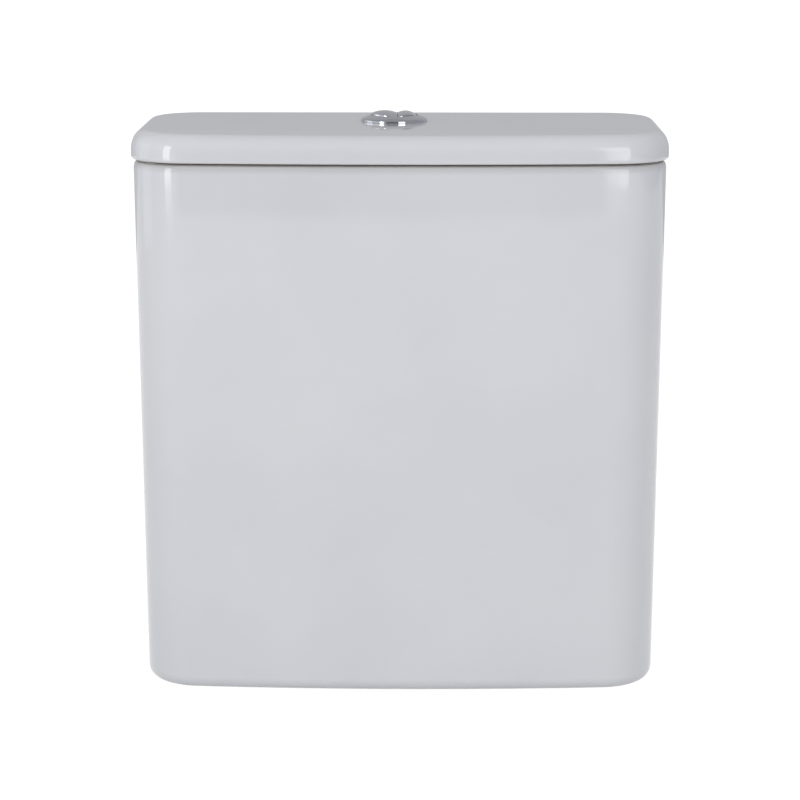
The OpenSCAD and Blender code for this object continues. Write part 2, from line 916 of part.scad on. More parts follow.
module riser_lock_ring() {
  color("steelblue") on_fill() ring(lock_r, riser_r + fit, shank_top, shank_top + lock_h);
}

// Valve head: socket for the riser below, chamber for the diaphragm above
module fill_head() {
  color("white") on_fill() difference() {
    rod(head_r, head_z, cap_z);
    rod(riser_r + fit, head_z - cut, head_z + head_socket);
    hole(riser_r - riser_t, head_z, cap_z);
    rod(chamber_r, cap_z - chamber_h, cap_z + cut);
  }
}

// Cap with the two ears of the float lever
module fill_cap() {
  y0 = lever_w / 2 + hub_gap;
  y1 = y0 + lever_ear_t;
  color("whitesmoke") on_fill() difference() {
    union() {
      rod(cap_r, cap_z, cap_z + cap_h);
      for (side = [-1, 1])
        translate([lever_pin_x, side * (y0 + y1) / 2, 0]) {
          block(
            -lever_ear_w / 2, lever_ear_w / 2, -lever_ear_t / 2, lever_ear_t / 2,
            cap_z + cap_h - cut, lever_pin_z
          );
          translate([0, 0, lever_pin_z]) bar_y(lever_ear_w / 2, lever_ear_t / 2);
        }
    }
    translate([lever_pin_x, 0, lever_pin_z]) bar_y(lever_pin_r + fit, y1 + cut);
  }
}

module fill_diaphragm() {
  color("dimgray") on_fill() rod(chamber_r - fit, diaphragm_z, diaphragm_z + diaphragm_t);
}

// Float cup: open below, slides on the riser, with a boss for the link
module float_cup() {
  top = float_z + float_h;
  color("lightblue") on_fill() difference() {
    union() {
      difference() {
        rod(float_r, float_z, top);
        difference() {
          rod(float_r - float_t, float_z - cut, top - float_t);
          rod(float_bore_r + float_t, float_z - 2 * cut, top);
        }
      }
      translate([link_x, 0, 0]) rod(float_boss_r, top - float_t, top + float_boss_h);
    }
    hole(float_bore_r, float_z, top);
    translate([link_x, 0, 0]) rod(link_r + fit, link_z, top + float_boss_h + cut);
  }
}

// Link: thin rod from the float's boss through the lever, with a collar under and over the lever
module float_link() {
  under = link_mark - link_play;
  over = link_mark + link_play;
  color("silver") on_fill() translate([link_x, 0, 0]) {
    rod(link_r, link_z, over + link_collar_h + link_end);
    rod(link_collar_r, under - link_collar_h, under);
    rod(link_collar_r, over, over + link_collar_h);
  }
}

// Lever at its lowest: hub between the cap's ears, slot for the link at its end
module float_lever() {
  tip = link_arm + lever_over;
  color("white") on_fill() translate([lever_pin_x, 0, lever_pin_z]) rotate([0, -lever_tilt, 0])
    difference() {
      union() {
        bar_y(lever_hub_r, lever_w / 2);
        block(-tip, lever_tail, -lever_w / 2, lever_w / 2, -lever_t / 2, lever_t / 2);
      }
      bar_y(lever_pin_r + fit, lever_w);
      block(-slot_mid - slot_half, -slot_mid + slot_half, -slot_half_w, slot_half_w, -lever_t, lever_t);
    }
}

module float_lever_pin() {
  color("silver") on_fill() translate([lever_pin_x, 0, lever_pin_z])
    bar_y(lever_pin_r, lever_w / 2 + hub_gap + lever_ear_t);
}

// Two bolts: hexagon head inside the tank, neck through the floor, free end for the pan
module coupling_bolts() {
  color("silver") on_bolts() {
    translate([0, 0, bolt_seat_z]) cylinder(r = bolt_head_r, h = bolt_head_h, $fn = hex);
    rod(bolt_neck_r, bolt_z, bolt_seat_z + cut);
    rod(bolt_r, bolt_z, bolt_nut_z - bolt_relief);
  }
}

module bolt_rubber_washers() {
  color("dimgray") on_bolts() ring(bolt_rubber_r, bolt_neck_r + fit, floor_z, floor_z + bolt_rubber_t);
}

module bolt_steel_washers() {
  color("silver") on_bolts() {
    ring(bolt_washer_r, bolt_neck_r + fit, floor_z + bolt_rubber_t, bolt_seat_z);
    ring(bolt_washer_r, bolt_neck_r + fit, foot_h - bolt_washer_t, foot_h);
  }
}

module bolt_nuts() {
  color("silver") on_bolts() difference() {
    translate([0, 0, bolt_nut_z]) cylinder(r = bolt_head_r, h = bolt_nut_h, $fn = hex);
    hole(bolt_neck_r + fit, bolt_nut_z, bolt_nut_z + bolt_nut_h);
  }
}

tank();
lid();
button_bezel();
bezel_gasket();
button_barrel();
barrel_nut();
full_flush_button();
half_flush_button();
full_button_spring();
half_button_spring();
full_push_rod();
half_push_rod();
valve_base();
base_washer();
outlet_nut();
coupling_gasket();
valve_tower();
valve_bridge();
rocker_pin();
full_flush_rocker();
half_flush_rocker();
overflow_tube();
lift_collar();
flush_seal();
seal_clamp();
flush_float();
fill_shank();
inlet_washer();
inlet_nut();
inlet_strainer();
fill_riser();
riser_lock_ring();
fill_head();
fill_cap();
fill_diaphragm();
float_cup();
float_link();
float_lever();
float_lever_pin();
coupling_bolts();
bolt_rubber_washers();
bolt_steel_washers();
bolt_nuts();
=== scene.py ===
import json
import math

import bmesh
import bpy
from mathutils import Matrix, Vector


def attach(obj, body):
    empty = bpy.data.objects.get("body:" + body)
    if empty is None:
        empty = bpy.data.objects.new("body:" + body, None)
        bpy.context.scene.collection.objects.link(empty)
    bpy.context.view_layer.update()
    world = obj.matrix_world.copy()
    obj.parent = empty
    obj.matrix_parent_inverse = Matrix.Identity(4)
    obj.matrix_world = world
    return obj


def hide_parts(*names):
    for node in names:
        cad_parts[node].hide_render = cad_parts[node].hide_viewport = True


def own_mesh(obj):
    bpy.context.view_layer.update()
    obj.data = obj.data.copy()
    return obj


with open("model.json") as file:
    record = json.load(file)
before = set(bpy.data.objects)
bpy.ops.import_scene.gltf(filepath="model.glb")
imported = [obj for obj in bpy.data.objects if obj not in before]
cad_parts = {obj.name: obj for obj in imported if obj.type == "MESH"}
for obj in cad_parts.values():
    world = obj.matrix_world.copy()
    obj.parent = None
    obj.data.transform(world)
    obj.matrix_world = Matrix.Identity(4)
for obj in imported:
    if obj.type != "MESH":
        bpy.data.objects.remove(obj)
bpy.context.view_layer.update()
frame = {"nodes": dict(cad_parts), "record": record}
scene = bpy.context.scene

# ---------- Tank
# The tank is one slip casting of white vitreous china, glazed inside and out.
# It stands on the pan's shelf on its hollow foot, which was left bare for the kiln,
# and its flat back goes against the wall.
mm = 0.001


class Wire:
    """A socket of a node tree; sums and products of wires add their Math nodes."""

    def __init__(self, tree, socket):
        self.tree, self.socket = tree, socket

    def node(self, kind, settings=None, inputs=None, out=None):
        """Adds a node, sets it, then gives its sockets their values or links; returns one output."""
        made = self.tree.nodes.new(kind)
        for key, value in (settings or {}).items():
            if key == "stops":
                for stop, (where, colour) in zip(made.color_ramp.elements, value):
                    stop.position, stop.color = where, (*colour, 1)
            else:
                setattr(made, key, value)
        for key, value in (inputs or {}).items():
            ways_in = made.inputs
            socket = ways_in[key] if isinstance(key, int) else next(
                s for s in ways_in if s.name == key and s.enabled)
            if isinstance(value, Wire):
                self.tree.links.new(value.socket, socket)
            else:
                socket.default_value = value
        ways_out = [s for s in made.outputs if s.enabled and out in (None, s.name)]
        return Wire(self.tree, ways_out[0])

    def maths(self, operation, *others):
        return self.node("ShaderNodeMath", {"operation": operation}, dict(enumerate((self, *others))))

    def __add__(self, other):
        return self.maths("ADD", other)

    def __sub__(self, other):
        return self.maths("SUBTRACT", other)

    def __rsub__(self, other):
        return self.node("ShaderNodeMath", {"operation": "SUBTRACT"}, {0: other, 1: self})

    def __mul__(self, other):
        return self.maths("MULTIPLY", other)

    def __truediv__(self, other):
        return self.maths("DIVIDE", other)

    def __mod__(self, other):
        return self.maths("MODULO", other)

    __radd__, __rmul__ = __add__, __mul__

    def mix(self, low, high, kind="RGBA"):
        """From low to high as this wire goes from 0 to 1."""
        return self.node("ShaderNodeMix", {"data_type": kind}, {"Factor": self, "A": low, "B": high})

    def ease(self, start, end):
        """0 up to start, 1 from end on, with a soft way between."""
        return self.node("ShaderNodeMapRange", {"interpolation_type": "SMOOTHSTEP"},
                         {"Value": self, "From Min": start, "From Max": end})

    def point(self, **where):
        """A vector from its X, Y and Z."""
        return self.node("ShaderNodeCombineXYZ", None, where)

    def plus(self, other):
        """The sum of two vectors."""
        return self.node("ShaderNodeVectorMath", {"operation": "ADD"}, {0: self, 1: other})

    def parts(self):
        return [self.node("ShaderNodeSeparateXYZ", None, {"Vector": self}, out=axis) for axis in "XYZ"]

    def noise(self, scale, detail=2.0):
        return self.node("ShaderNodeTexNoise", None,
                         {"Vector": self, "Scale": scale, "Detail": detail}, out="Fac")

    def into(self, shader, socket):
        self.tree.links.new(self.socket, shader.inputs[socket])

    def bump_into(self, shader, strength, distance):
        self.node("ShaderNodeBump", None,
                  {"Strength": strength, "Distance": distance, "Height": self}).into(shader, "Normal")


def new_finish(name):
    """An empty material: gives it, its shader and a wire of the piece's own coordinates."""
    material = bpy.data.materials.new(name)
    material.use_nodes = True
    tree = material.node_tree
    shader = next(n for n in tree.nodes if n.type == "BSDF_PRINCIPLED")
    return material, shader, Wire(tree, tree.nodes.new("ShaderNodeTexCoord").outputs["Object"])


def glazed(name, kiln_level, painted_shade_band=(9.0, 9.1)):
    """White glaze, faintly cloudy, with a slow ripple: bare biscuit where it stood in the kiln,
    painted shade in the joint between two heights and a painted shadow fading out below it. The joint is far
    above a piece that has none."""
    material, shader, place = new_finish(name)
    bare_core, bare_edge = 0.0006, 0.0011
    shadow_top, shadow_foot, soft = 0.0015, 0.0065, 0.0002
    cloud = place.noise(9.0, 3.0)
    white = cloud.ease(0.3, 0.7).mix((0.785, 0.797, 0.85, 1), (0.82, 0.83, 0.875, 1))
    speck = place.noise(1500.0, 1.0)
    height = place.parts()[2]
    bare = (height - kiln_level).maths("ABSOLUTE").ease(bare_edge, bare_core)
    low, high = painted_shade_band
    # painted shadow: the glaze darkens over a few millimetres below the joint, as under the lid's overhang
    painted_shadow_below = height.ease(low - shadow_foot, low - shadow_top) * 0.22
    # painted shade: the glaze is nearly dark inside the joint between tank and lid
    dark = (height.ease(low - soft, low) * 0.78 + painted_shadow_below) * height.ease(high + soft, high)
    biscuit = speck.ease(0.35, 0.75).mix((0.74, 0.69, 0.61, 1), (0.82, 0.78, 0.71, 1))
    # (0.21, 0.19, 0.165) is the colour of the painted shade and shadow at the joint
    dark.mix(bare.mix(white, biscuit), (0.21, 0.19, 0.165, 1)).into(shader, "Base Color")
    (0.04 + cloud * 0.03 + bare * 0.6).into(shader, "Roughness")
    ripple = place.noise(26.0, 0.0) + bare * speck * 0.4
    ripple.bump_into(shader, 0.2, 0.00012)
    return material


def arc(centre, r, start, end, steps):
    """Points of an arc, its ends included; angles in degrees."""
    turns = [math.radians(start + (end - start) * k / steps) for k in range(steps + 1)]
    return [(centre[0] + r * math.cos(t), centre[1] + r * math.sin(t)) for t in turns]


def between(a, b, steps):
    """The points that divide a straight run, without its ends."""
    return [tuple(p + (q - p) * k / steps for p, q in zip(a, b)) for k in range(1, steps)]


def casting_line(width, depth, back, corner_r, bow_r=2000):
    """A casting seen from above: flat back and sides, round corners, gently bowed front."""
    half, bow_y = width / 2 - corner_r, back - depth + bow_r
    front_y = bow_y - math.sqrt((bow_r - corner_r) ** 2 - half ** 2)
    lean = math.degrees(math.atan2(front_y - bow_y, half))
    right_back = arc((half, back - corner_r), corner_r, 0, 90, 24)
    left_back = arc((-half, back - corner_r), corner_r, 90, 180, 24)
    left_front = arc((-half, front_y), corner_r, 180, 180 - lean, 36)
    front = arc((0, bow_y), bow_r, 180 - lean, 360 + lean, 120)[1:-1]
    right_front = arc((half, front_y), corner_r, 360 + lean, 360, 36)
    return (right_back + between(right_back[-1], left_back[0], 26)
            + left_back + between(left_back[-1], left_front[0], 9) + left_front + front
            + right_front + between(right_front[-1], right_back[0], 9))


def rounded(corners, closed=False, steps=5):
    """A line through corners (across, up, radius), each corner turned with its radius."""
    line, count = [], len(corners)
    for n, (x, z, r) in enumerate(corners):
        if r == 0 or (not closed and n in (0, count - 1)):
            line.append((x, z))
            continue
        here = Vector((x, z))
        u = (Vector(corners[n - 1][:2]) - here).normalized()
        v = (Vector(corners[(n + 1) % count][:2]) - here).normalized()
        half = math.acos(max(-1.0, min(1.0, u.dot(v)))) / 2
        centre = here + (u + v).normalized() * (r / math.sin(half))
        spoke = here + u * (r / math.tan(half)) - centre
        sweep = (math.pi - 2 * half) * (1 if u.cross(v) < 0 else -1)
        for k in range(steps + 1):
            line.append(tuple(centre + Matrix.Rotation(sweep * k / steps, 2) @ spoke))
    return line


def quarter(steps):
    """The angles of a quarter turn, its ends included."""
    return [math.radians(90 * k / steps) for k in range(steps + 1)]


def lower_edge(z, height, depth, steps=12):
    """A quarter ellipse from the foot of an edge outwards and up, as (inset, height)."""
    return [(depth * (1 - math.sin(t)), z + height * (1 - math.cos(t))) for t in quarter(steps)]


def upper_edge(z, height, depth, steps=12):
    """A quarter ellipse from the top of a side up and inwards, as (inset, height)."""
    return [(depth * (1 - math.cos(t)), z - height * (1 - math.sin(t))) for t in quarter(steps)]


def new_tree(name, sizes):
    """A Geometry Nodes tree with named inputs; gives it and the wires of its inputs."""
    tree = bpy.data.node_groups.new(name, "GeometryNodeTree")
    tree.interface.new_socket("Geometry", in_out="OUTPUT", socket_type="NodeSocketGeometry")
    for label, kind in {"Lines": "Geometry", **sizes, "Finish": "Material"}.items():
        tree.interface.new_socket(label, in_out="INPUT", socket_type="NodeSocket" + kind)
    entry = tree.nodes.new("NodeGroupInput")
    return tree, {s.name: Wire(tree, s) for s in entry.outputs if s.name}


def end_tree(tree, shape, finish):
    """Ends a tree: seams and poles closed, shaded smooth, instances made real, finish set."""
    closed = shape.node("GeometryNodeMergeByDistance", None, {"Geometry": shape, "Distance": 4e-6})
    smooth = shape.node("GeometryNodeSetShadeSmooth", None, {"Geometry": closed})
    real = shape.node("GeometryNodeRealizeInstances", None, {"Geometry": smooth})
    done = shape.node("GeometryNodeSetMaterial", None, {"Geometry": real, "Material": finish})
    tree.links.new(done.socket, tree.nodes.new("NodeGroupOutput").inputs[0])


def sampled(lines, value, number):
    """A value of the lines at the point with that number."""
    return lines.node("GeometryNodeSampleIndex", {"data_type": "FLOAT_VECTOR", "domain": "POINT"},
                      {"Geometry": lines, "Value": value, "Index": number})


def laid_out(lines, columns, rows, place):
    """A sheet of columns by rows points, each put in its place."""
    sheet = lines.node("GeometryNodeMeshGrid", None, {"Vertices X": columns, "Vertices Y": rows}, out="Mesh")
    return lines.node("GeometryNodeSetPosition", None, {"Geometry": sheet, "Position": place})


def casting_tree():
    """A wall swept round a casting: foot line, rim line and wall section in, closed wall out."""
    tree, given = new_tree("casting_wall", {
        "Outline Points": "Int", "Section Points": "Int", "Height": "Float"})
    lines, around, across = given["Lines"], given["Outline Points"], given["Section Points"]
    number = lines.node("GeometryNodeInputIndex")
    column = (number / across).maths("FLOOR")
    row = number - column * across
    column = column % around
    position = lines.node("GeometryNodeInputPosition")
    foot = sampled(lines, position, column)
    rim = sampled(lines, position, column + around)
    inset, _, level = sampled(lines, position, row + around * 2).parts()
    along = sampled(lines, lines.node("GeometryNodeInputTangent"), column).parts()
    outline = (level / given["Height"]).mix(foot, rim, "VECTOR").parts()
    place = lines.point(X=outline[0] - along[1] * inset, Y=outline[1] + along[0] * inset, Z=level)
    end_tree(tree, laid_out(lines, around + 1, across, place), given["Finish"])
    return tree


def worked_out(holder):
    """The plain mesh that an object's modifiers make of it."""
    bpy.context.view_layer.update()
    seen = holder.evaluated_get(bpy.context.evaluated_depsgraph_get())
    return bpy.data.meshes.new_from_object(seen)


def cast(name, foot, rim, section, height, finish):
    """A casting's wall from its foot line to its rim line, with its section, closed."""
    lines = [([(x, y, 0) for x, y in line], True) for line in (foot, rim)]
    lines.append(([(inset, 0, z) for inset, z in section], False))
    sizes = {"Outline Points": len(rim), "Section Points": len(section), "Height": height}
    return closed_up(grown(name, casting, lines, sizes, finish))


def grown(name, tree, lines, sizes, finish):
    """Runs a tree on the given lines and gives the plain mesh that comes of it, as an object."""
    curve = bpy.data.curves.new(name + "_lines", "CURVE")
    curve.dimensions = "3D"
    for points, closed in lines:
        spline = curve.splines.new("POLY")
        spline.points.add(len(points) - 1)
        spline.points.foreach_set("co", [c * mm for p in points for c in (*p, 1 / mm)])
        spline.use_cyclic_u = closed
    holder = bpy.data.objects.new(name + "_lines", curve)
    scene.collection.objects.link(holder)
    making = holder.modifiers.new("making", "NODES")
    making.node_group = tree
    for label, value in {**sizes, "Finish": finish}.items():
        making[tree.interface.items_tree[label].identifier] = value
    mesh = worked_out(holder)
    holder.modifiers.remove(making)
    bpy.data.objects.remove(holder)
    bpy.data.curves.remove(curve)
    return as_piece(name, mesh, finish)


def as_piece(name, mesh, finish):
    """A mesh with its finish as an object of the scene, its place in the mesh."""
    mesh.materials.clear()
    mesh.materials.append(finish)
    piece = bpy.data.objects.new(name, mesh)
    scene.collection.objects.link(piece)
    return piece


def from_work(name, work, finish):
    """A worked mesh as a piece."""
    mesh = bpy.data.meshes.new(name)
    work.to_mesh(mesh)
    work.free()
    return as_piece(name, mesh, finish)


def outwards(work):
    """Turns the faces of a closed mesh outwards."""
    bmesh.ops.recalc_face_normals(work, faces=work.faces)
    if work.calc_volume(signed=True) < 0:
        bmesh.ops.reverse_faces(work, faces=work.faces)


def closed_up(piece):
    """Fills the open ends of a piece and turns its faces outwards."""
    work = bmesh.new()
    work.from_mesh(piece.data)
    ends = [e for e in work.edges if e.is_boundary]
    if ends:
        bmesh.ops.holes_fill(work, edges=ends, sides=0)
    outwards(work)
    work.to_mesh(piece.data)
    work.free()
    return piece


def joined(piece, other, operation="DIFFERENCE"):
    """Cuts another solid out of a piece, or adds it, and drops the other."""
    step = piece.modifiers.new("step", "BOOLEAN")
    step.operation, step.solver, step.object = operation, "EXACT", other
    mesh, old = worked_out(piece), piece.data
    finish = old.materials[0]
    piece.modifiers.remove(step)
    piece.data = mesh
    mesh.materials.clear()
    mesh.materials.append(finish)
    bpy.data.meshes.remove(old)
    bpy.data.objects.remove(other)
    return piece


def settled(piece, crease=38):
    """Smooth in the light, with its sharper edges kept and its wide flat faces flat."""
    faces = piece.data.polygons
    faces.foreach_set("use_smooth", [len(face.vertices) < 9 for face in faces])
    piece.data.set_sharp_from_angle(angle=math.radians(crease))
    return piece


body_of = {node: body for body, nodes in frame["record"]["behaviour"]["bodies"].items() for node in nodes}


def fitted(piece, node):
    """The piece stands for its CAD node and moves with its body."""
    settled(piece)
    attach(piece, body_of[node])
    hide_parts(node)
    return piece


def lathe_tree():
    """A section turned round an upright axis, with a screw thread cut into one of its sides."""
    tree, given = new_tree("turned_shape", {
        "Steps Round": "Int", "Section Points": "Int", "Axis": "Vector", "Thread Radius": "Float",
        "Thread From": "Float", "Thread To": "Float", "Thread Pitch": "Float", "Thread Depth": "Float"})
    lines, steps, across = given["Lines"], given["Steps Round"], given["Section Points"]
    number = lines.node("GeometryNodeInputIndex")
    column = (number / across).maths("FLOOR")
    position = lines.node("GeometryNodeInputPosition")
    r, _, z = sampled(lines, position, number - column * across).parts()
    turn = column / steps
    pitch = given["Thread Pitch"]
    on_side = (r - given["Thread Radius"]).maths("ABSOLUTE").maths("LESS_THAN", 0.0001)
    run_in = ((z - given["Thread From"]) / pitch).ease(0.0, 1.0)
    run_out = ((given["Thread To"] - z) / pitch).ease(0.0, 1.0)
    wave = (((z / pitch - turn).maths("FRACT") * 2 - 1).maths("ABSOLUTE")).ease(0.15, 0.85)
    r = r - given["Thread Depth"] * on_side * run_in * run_out * wave
    angle = turn * math.tau
    place = lines.point(X=r * angle.maths("COSINE"), Y=r * angle.maths("SINE"), Z=z).plus(given["Axis"])
    end_tree(tree, laid_out(lines, steps + 1, across, place), given["Finish"])
    return tree


lathe = lathe_tree()
no_thread = dict(r=1000, z0=0, z1=0, pitch=1, depth=0)


def turned(name, line, finish, axis=(0, 0), thread=no_thread, closed=True, steps=96):
    """A turned piece from its section (radius, height); a closed section is a ring."""
    line = line + line[:1] if closed else line
    section = []
    for a, b in zip(line, line[1:]):
        rise, off = abs(b[1] - a[1]), max(abs(p[0] - thread["r"]) for p in (a, b))
        cut = off < 0.05 and rise > thread["pitch"]
        parts = math.ceil(rise / thread["pitch"] * 8) if cut else 1
        section += [a, *between(a, b, parts)]
    section.append(line[-1])
    points = [(r, 0, z) for r, z in section]
    sizes = {
        "Steps Round": steps, "Section Points": len(points), "Axis": (axis[0] * mm, axis[1] * mm, 0),
        "Thread Radius": thread["r"] * mm, "Thread From": thread["z0"] * mm,
        "Thread To": thread["z1"] * mm, "Thread Pitch": thread["pitch"] * mm,
        "Thread Depth": thread["depth"] * mm}
    return closed_up(grown(name, lathe, [(points, False)], sizes, finish))


def drill(r, z0, z1, axis, flare, finish):
    """A cutter for a hole whose two mouths are rounded, as glaze leaves them."""
    line = [(0, z0 - 3), (r + flare, z0 - 3)]
    line += arc((r + flare, z0 + flare), flare, 270, 180, 6)
    line += arc((r + flare, z1 - flare), flare, 180, 90, 6)
    return turned("drill", line + [(r + flare, z1 + 3), (0, z1 + 3)], finish, axis, closed=False)


tank_h, foot_h, floor_z, wall_y, wall_t = 383, 14, 26, 62, 10
fillet, inner_z, bolt_x, fill_x, fixing_x, fixing_z = 14, 300, 80, 122, 100, 338
rim_line = casting_line(377, 170, wall_y, 40)
foot_line = casting_line(371, 164, wall_y, 40)
ledge_z, shade_band_from, shade_band_to = tank_h - 1.6, 0.25, 0.4
fillet_z = floor_z + fillet
tank_section = (
    [(30, foot_h), (22, foot_h)]
    + rounded([(20, foot_h, 0), (14, foot_h, 3), (12, 0, 1.2), (7.5, 0, 0)])
    + lower_edge(0, 9, 7) + between((0, 9), (0, ledge_z - 5), 12) + upper_edge(ledge_z, 5, 2.5)
    + rounded([(3, ledge_z, 0), (5.6, ledge_z - 0.8, 0.4), (6, tank_h, 0.6),
               (wall_t, tank_h, 2.4), (wall_t, inner_z, 0)])
    + between((wall_t, inner_z), (wall_t, fillet_z), 8)
    + [(fillet - fillet * math.cos(t) + wall_t, fillet_z - fillet * math.sin(t)) for t in quarter(12)]
    + [(27, floor_z), (30, floor_z)])
# the seat's step and ledge carry painted shade, with a painted shadow fading out below them
tank_glaze = glazed("tank_glaze", 0.0, ((ledge_z + shade_band_from) * mm, (tank_h - shade_band_to) * mm))
casting = casting_tree()
tank = cast("glazed_tank", foot_line, rim_line, tank_section, tank_h * mm, tank_glaze)
for hole_r, hole_x in ((31, 0), (6, -bolt_x), (6, bolt_x), (12.475, fill_x)):
    joined(tank, drill(hole_r, foot_h, floor_z, (hole_x, 0), 1.5, tank_glaze))
for side in (-1, 1):
    fixing = drill(4, -wall_t, 0, (0, 0), 1.2, tank_glaze)
    fixing.data.transform(Matrix.Translation((side * fixing_x * mm, wall_y * mm, fixing_z * mm))
                          @ Matrix.Rotation(math.radians(-90), 4, "X"))
    joined(tank, fixing)
fitted(tank, "tank")

# ---------- Coupling bolts
# Two zinc-plated bolts hold the tank to the pan, their heads on rubber inside the tank.
# Each has a steel washer over the rubber, and a washer and nut under the floor.


def plated(name, dark, bright, roughness):
    """Plated steel: a fine drifting tone and faint rub marks."""
    material, shader, place = new_finish(name)
    drift = place.noise(260.0, 3.0)
    drift.ease(0.3, 0.7).mix((*dark, 1), (*bright, 1)).into(shader, "Base Color")
    shader.inputs["Metallic"].default_value = 1.0
    rubs = place.node("ShaderNodeMapping", None, {"Vector": place, "Scale": (900, 900, 90)}).noise(1.0, 2.0)
    (roughness + drift * 0.12 + rubs * 0.08).into(shader, "Roughness")
    rubs.bump_into(shader, 0.12, 0.00005)
    return material


def rubber(name, colour, bloom, roughness=0.6):
    """Moulded rubber: matt, a little bloom in patches, a fine skin."""
    material, shader, place = new_finish(name)
    patch = place.noise(70.0, 3.0)
    patch.ease(0.45, 0.75).mix((*colour, 1), (*bloom, 1)).into(shader, "Base Color")
    (roughness + patch * 0.2).into(shader, "Roughness")
    place.noise(1800.0, 1.0).bump_into(shader, 0.2, 0.00008)
    return material


def merged(name, pieces):
    """Several solids as one piece."""
    work = bmesh.new()
    for piece in pieces:
        work.from_mesh(piece.data)
    whole = from_work(name, work, pieces[0].data.materials[0])
    for piece in pieces:
        bpy.data.objects.remove(piece)
    return whole


def washer(name, r, bore, z0, z1, ease, finish, axis=(0, 0)):
    """A flat ring with eased edges."""
    corners = [(bore, z0, ease), (r, z0, ease), (r, z1, ease), (bore, z1, ease)]
    return turned(name, rounded(corners, closed=True, steps=4), finish, axis)


def skinned(name, rings, finish):
    """A solid over a stack of rings of points, closed at both ends."""
    work = bmesh.new()
    rows = [[work.verts.new([c * mm for c in point]) for point in ring] for ring in rings]
    for low, high in zip(rows, rows[1:]):
        for k in range(len(low)):
            n = (k + 1) % len(low)
            work.faces.new((low[k], low[n], high[n], high[k]))
    work.faces.new(rows[0])
    work.faces.new(rows[-1])
    outwards(work)
    return from_work(name, work, finish)


def flats(name, sides, r, z0, z1, ease, finish, axis=(0, 0)):
    """A block with flats, such as a nut or a bolt's head, its corners and edges eased."""
    plan = [(r * math.cos(math.tau * k / sides), r * math.sin(math.tau * k / sides)) for k in range(sides)]

    def ring(inset, z):
        share = (r - inset / math.cos(math.pi / sides)) / r
        line = rounded([(x * share, y * share, ease) for x, y in plan], closed=True, steps=3)
        return [(x + axis[0], y + axis[1], z) for x, y in line]

    turns = quarter(4)
    low = [ring(ease * (1 - math.sin(t)), z0 + ease * (1 - math.cos(t))) for t in turns]
    high = [ring(ease * (1 - math.cos(t)), z1 - ease * (1 - math.sin(t))) for t in turns]
    return skinned(name, low + high, finish)


zinc = plated("zinc_plate", (0.50, 0.50, 0.48), (0.66, 0.66, 0.63), 0.26)
black_rubber = rubber("black_rubber", (0.018, 0.018, 0.019), (0.045, 0.044, 0.043))
bolt_places = ((-bolt_x, 0), (bolt_x, 0))
bolts, rubbers, steels, nuts = [], [], [], []
for at in bolt_places:
    shank = turned("shank", rounded([
        (0, -28, 0), (4, -28, 0.8), (4, 5.4, 0.1), (3.8, 5.4, 0.1), (3.8, 33.6, 0), (0, 33.6, 0)]),
        zinc, at, closed=False, steps=32, thread=dict(r=4, z0=-28, z1=5.4, pitch=1.25, depth=0.65))
    head = flats("head", 6, 7.52, 32.6, 37.9, 0.5, zinc, at)
    bolts.append(joined(shank, head, "UNION"))
    rubbers.append(washer("rubber", 13, 3.85, 26, 31, 0.7, black_rubber, at))
    steels += [washer("steel", 11, 3.85, z, z + 1.6, 0.25, zinc, at) for z in (31, 12.4)]
    nut = flats("nut", 6, 7.52, 5.9, 12.4, 0.5, zinc, at)
    nuts.append(joined(nut, turned("bore", [
        (0, 4), (5, 4), (5, 5.4), (3.85, 6.7), (3.85, 11.6), (5, 12.9), (5, 14), (0, 14)],
        zinc, at, closed=False, steps=48)))
fitted(merged("tank_bolts", bolts), "coupling_bolts")
fitted(merged("bolt_rubbers", rubbers), "bolt_rubber_washers")
fitted(merged("bolt_steels", steels), "bolt_steel_washers")
fitted(merged("nuts_under_floor", nuts), "bolt_nuts")

# ---------- Flush valve's base
# The base is moulded in white plastic: threaded outlet tail, flange and a basket with four ports.
# A rubber washer seals it inside the tank, a back nut holds it from below,
# and a thick foam ring over the nut seals the tank on the pan.


def moulded(name, colour, roughness=0.32):
    """Moulded plastic: a faint flow in its tone and gloss, a fine grain from the mould."""
    material, shader, place = new_finish(name)
    flow = place.noise(24.0, 3.0)
    deep = tuple(c * 0.9 for c in colour)
    flow.ease(0.3, 0.7).mix((*deep, 1), (*colour, 1)).into(shader, "Base Color")
    (roughness + flow * 0.16 - 0.08).into(shader, "Roughness")
    grain = place.noise(2200.0, 1.0) + place.noise(90.0, 1.0) * 0.6
    grain.bump_into(shader, 0.12, 0.00009)
    return material


def foamed(name, colour):
    """Closed-cell foam: fine pores with painted shade in their depth, under a dull skin."""
    material, shader, place = new_finish(name)
    cell = place.node("ShaderNodeTexVoronoi", {"feature": "F1"},
                      {"Vector": place, "Scale": 620.0}, out="Distance")
    pore = cell.ease(0.15, 0.6)
    shade = place.noise(45.0, 3.0)
    skin = shade.mix(tuple(c * 0.75 for c in colour) + (1,), (*colour, 1))
    # the pores' dark centres are painted shade
    pore.mix(tuple(c * 0.35 for c in colour) + (1,), skin).into(shader, "Base Color")
    (0.95 - pore * 0.15).into(shader, "Roughness")
    pore.bump_into(shader, 0.6, 0.0003)
    return material


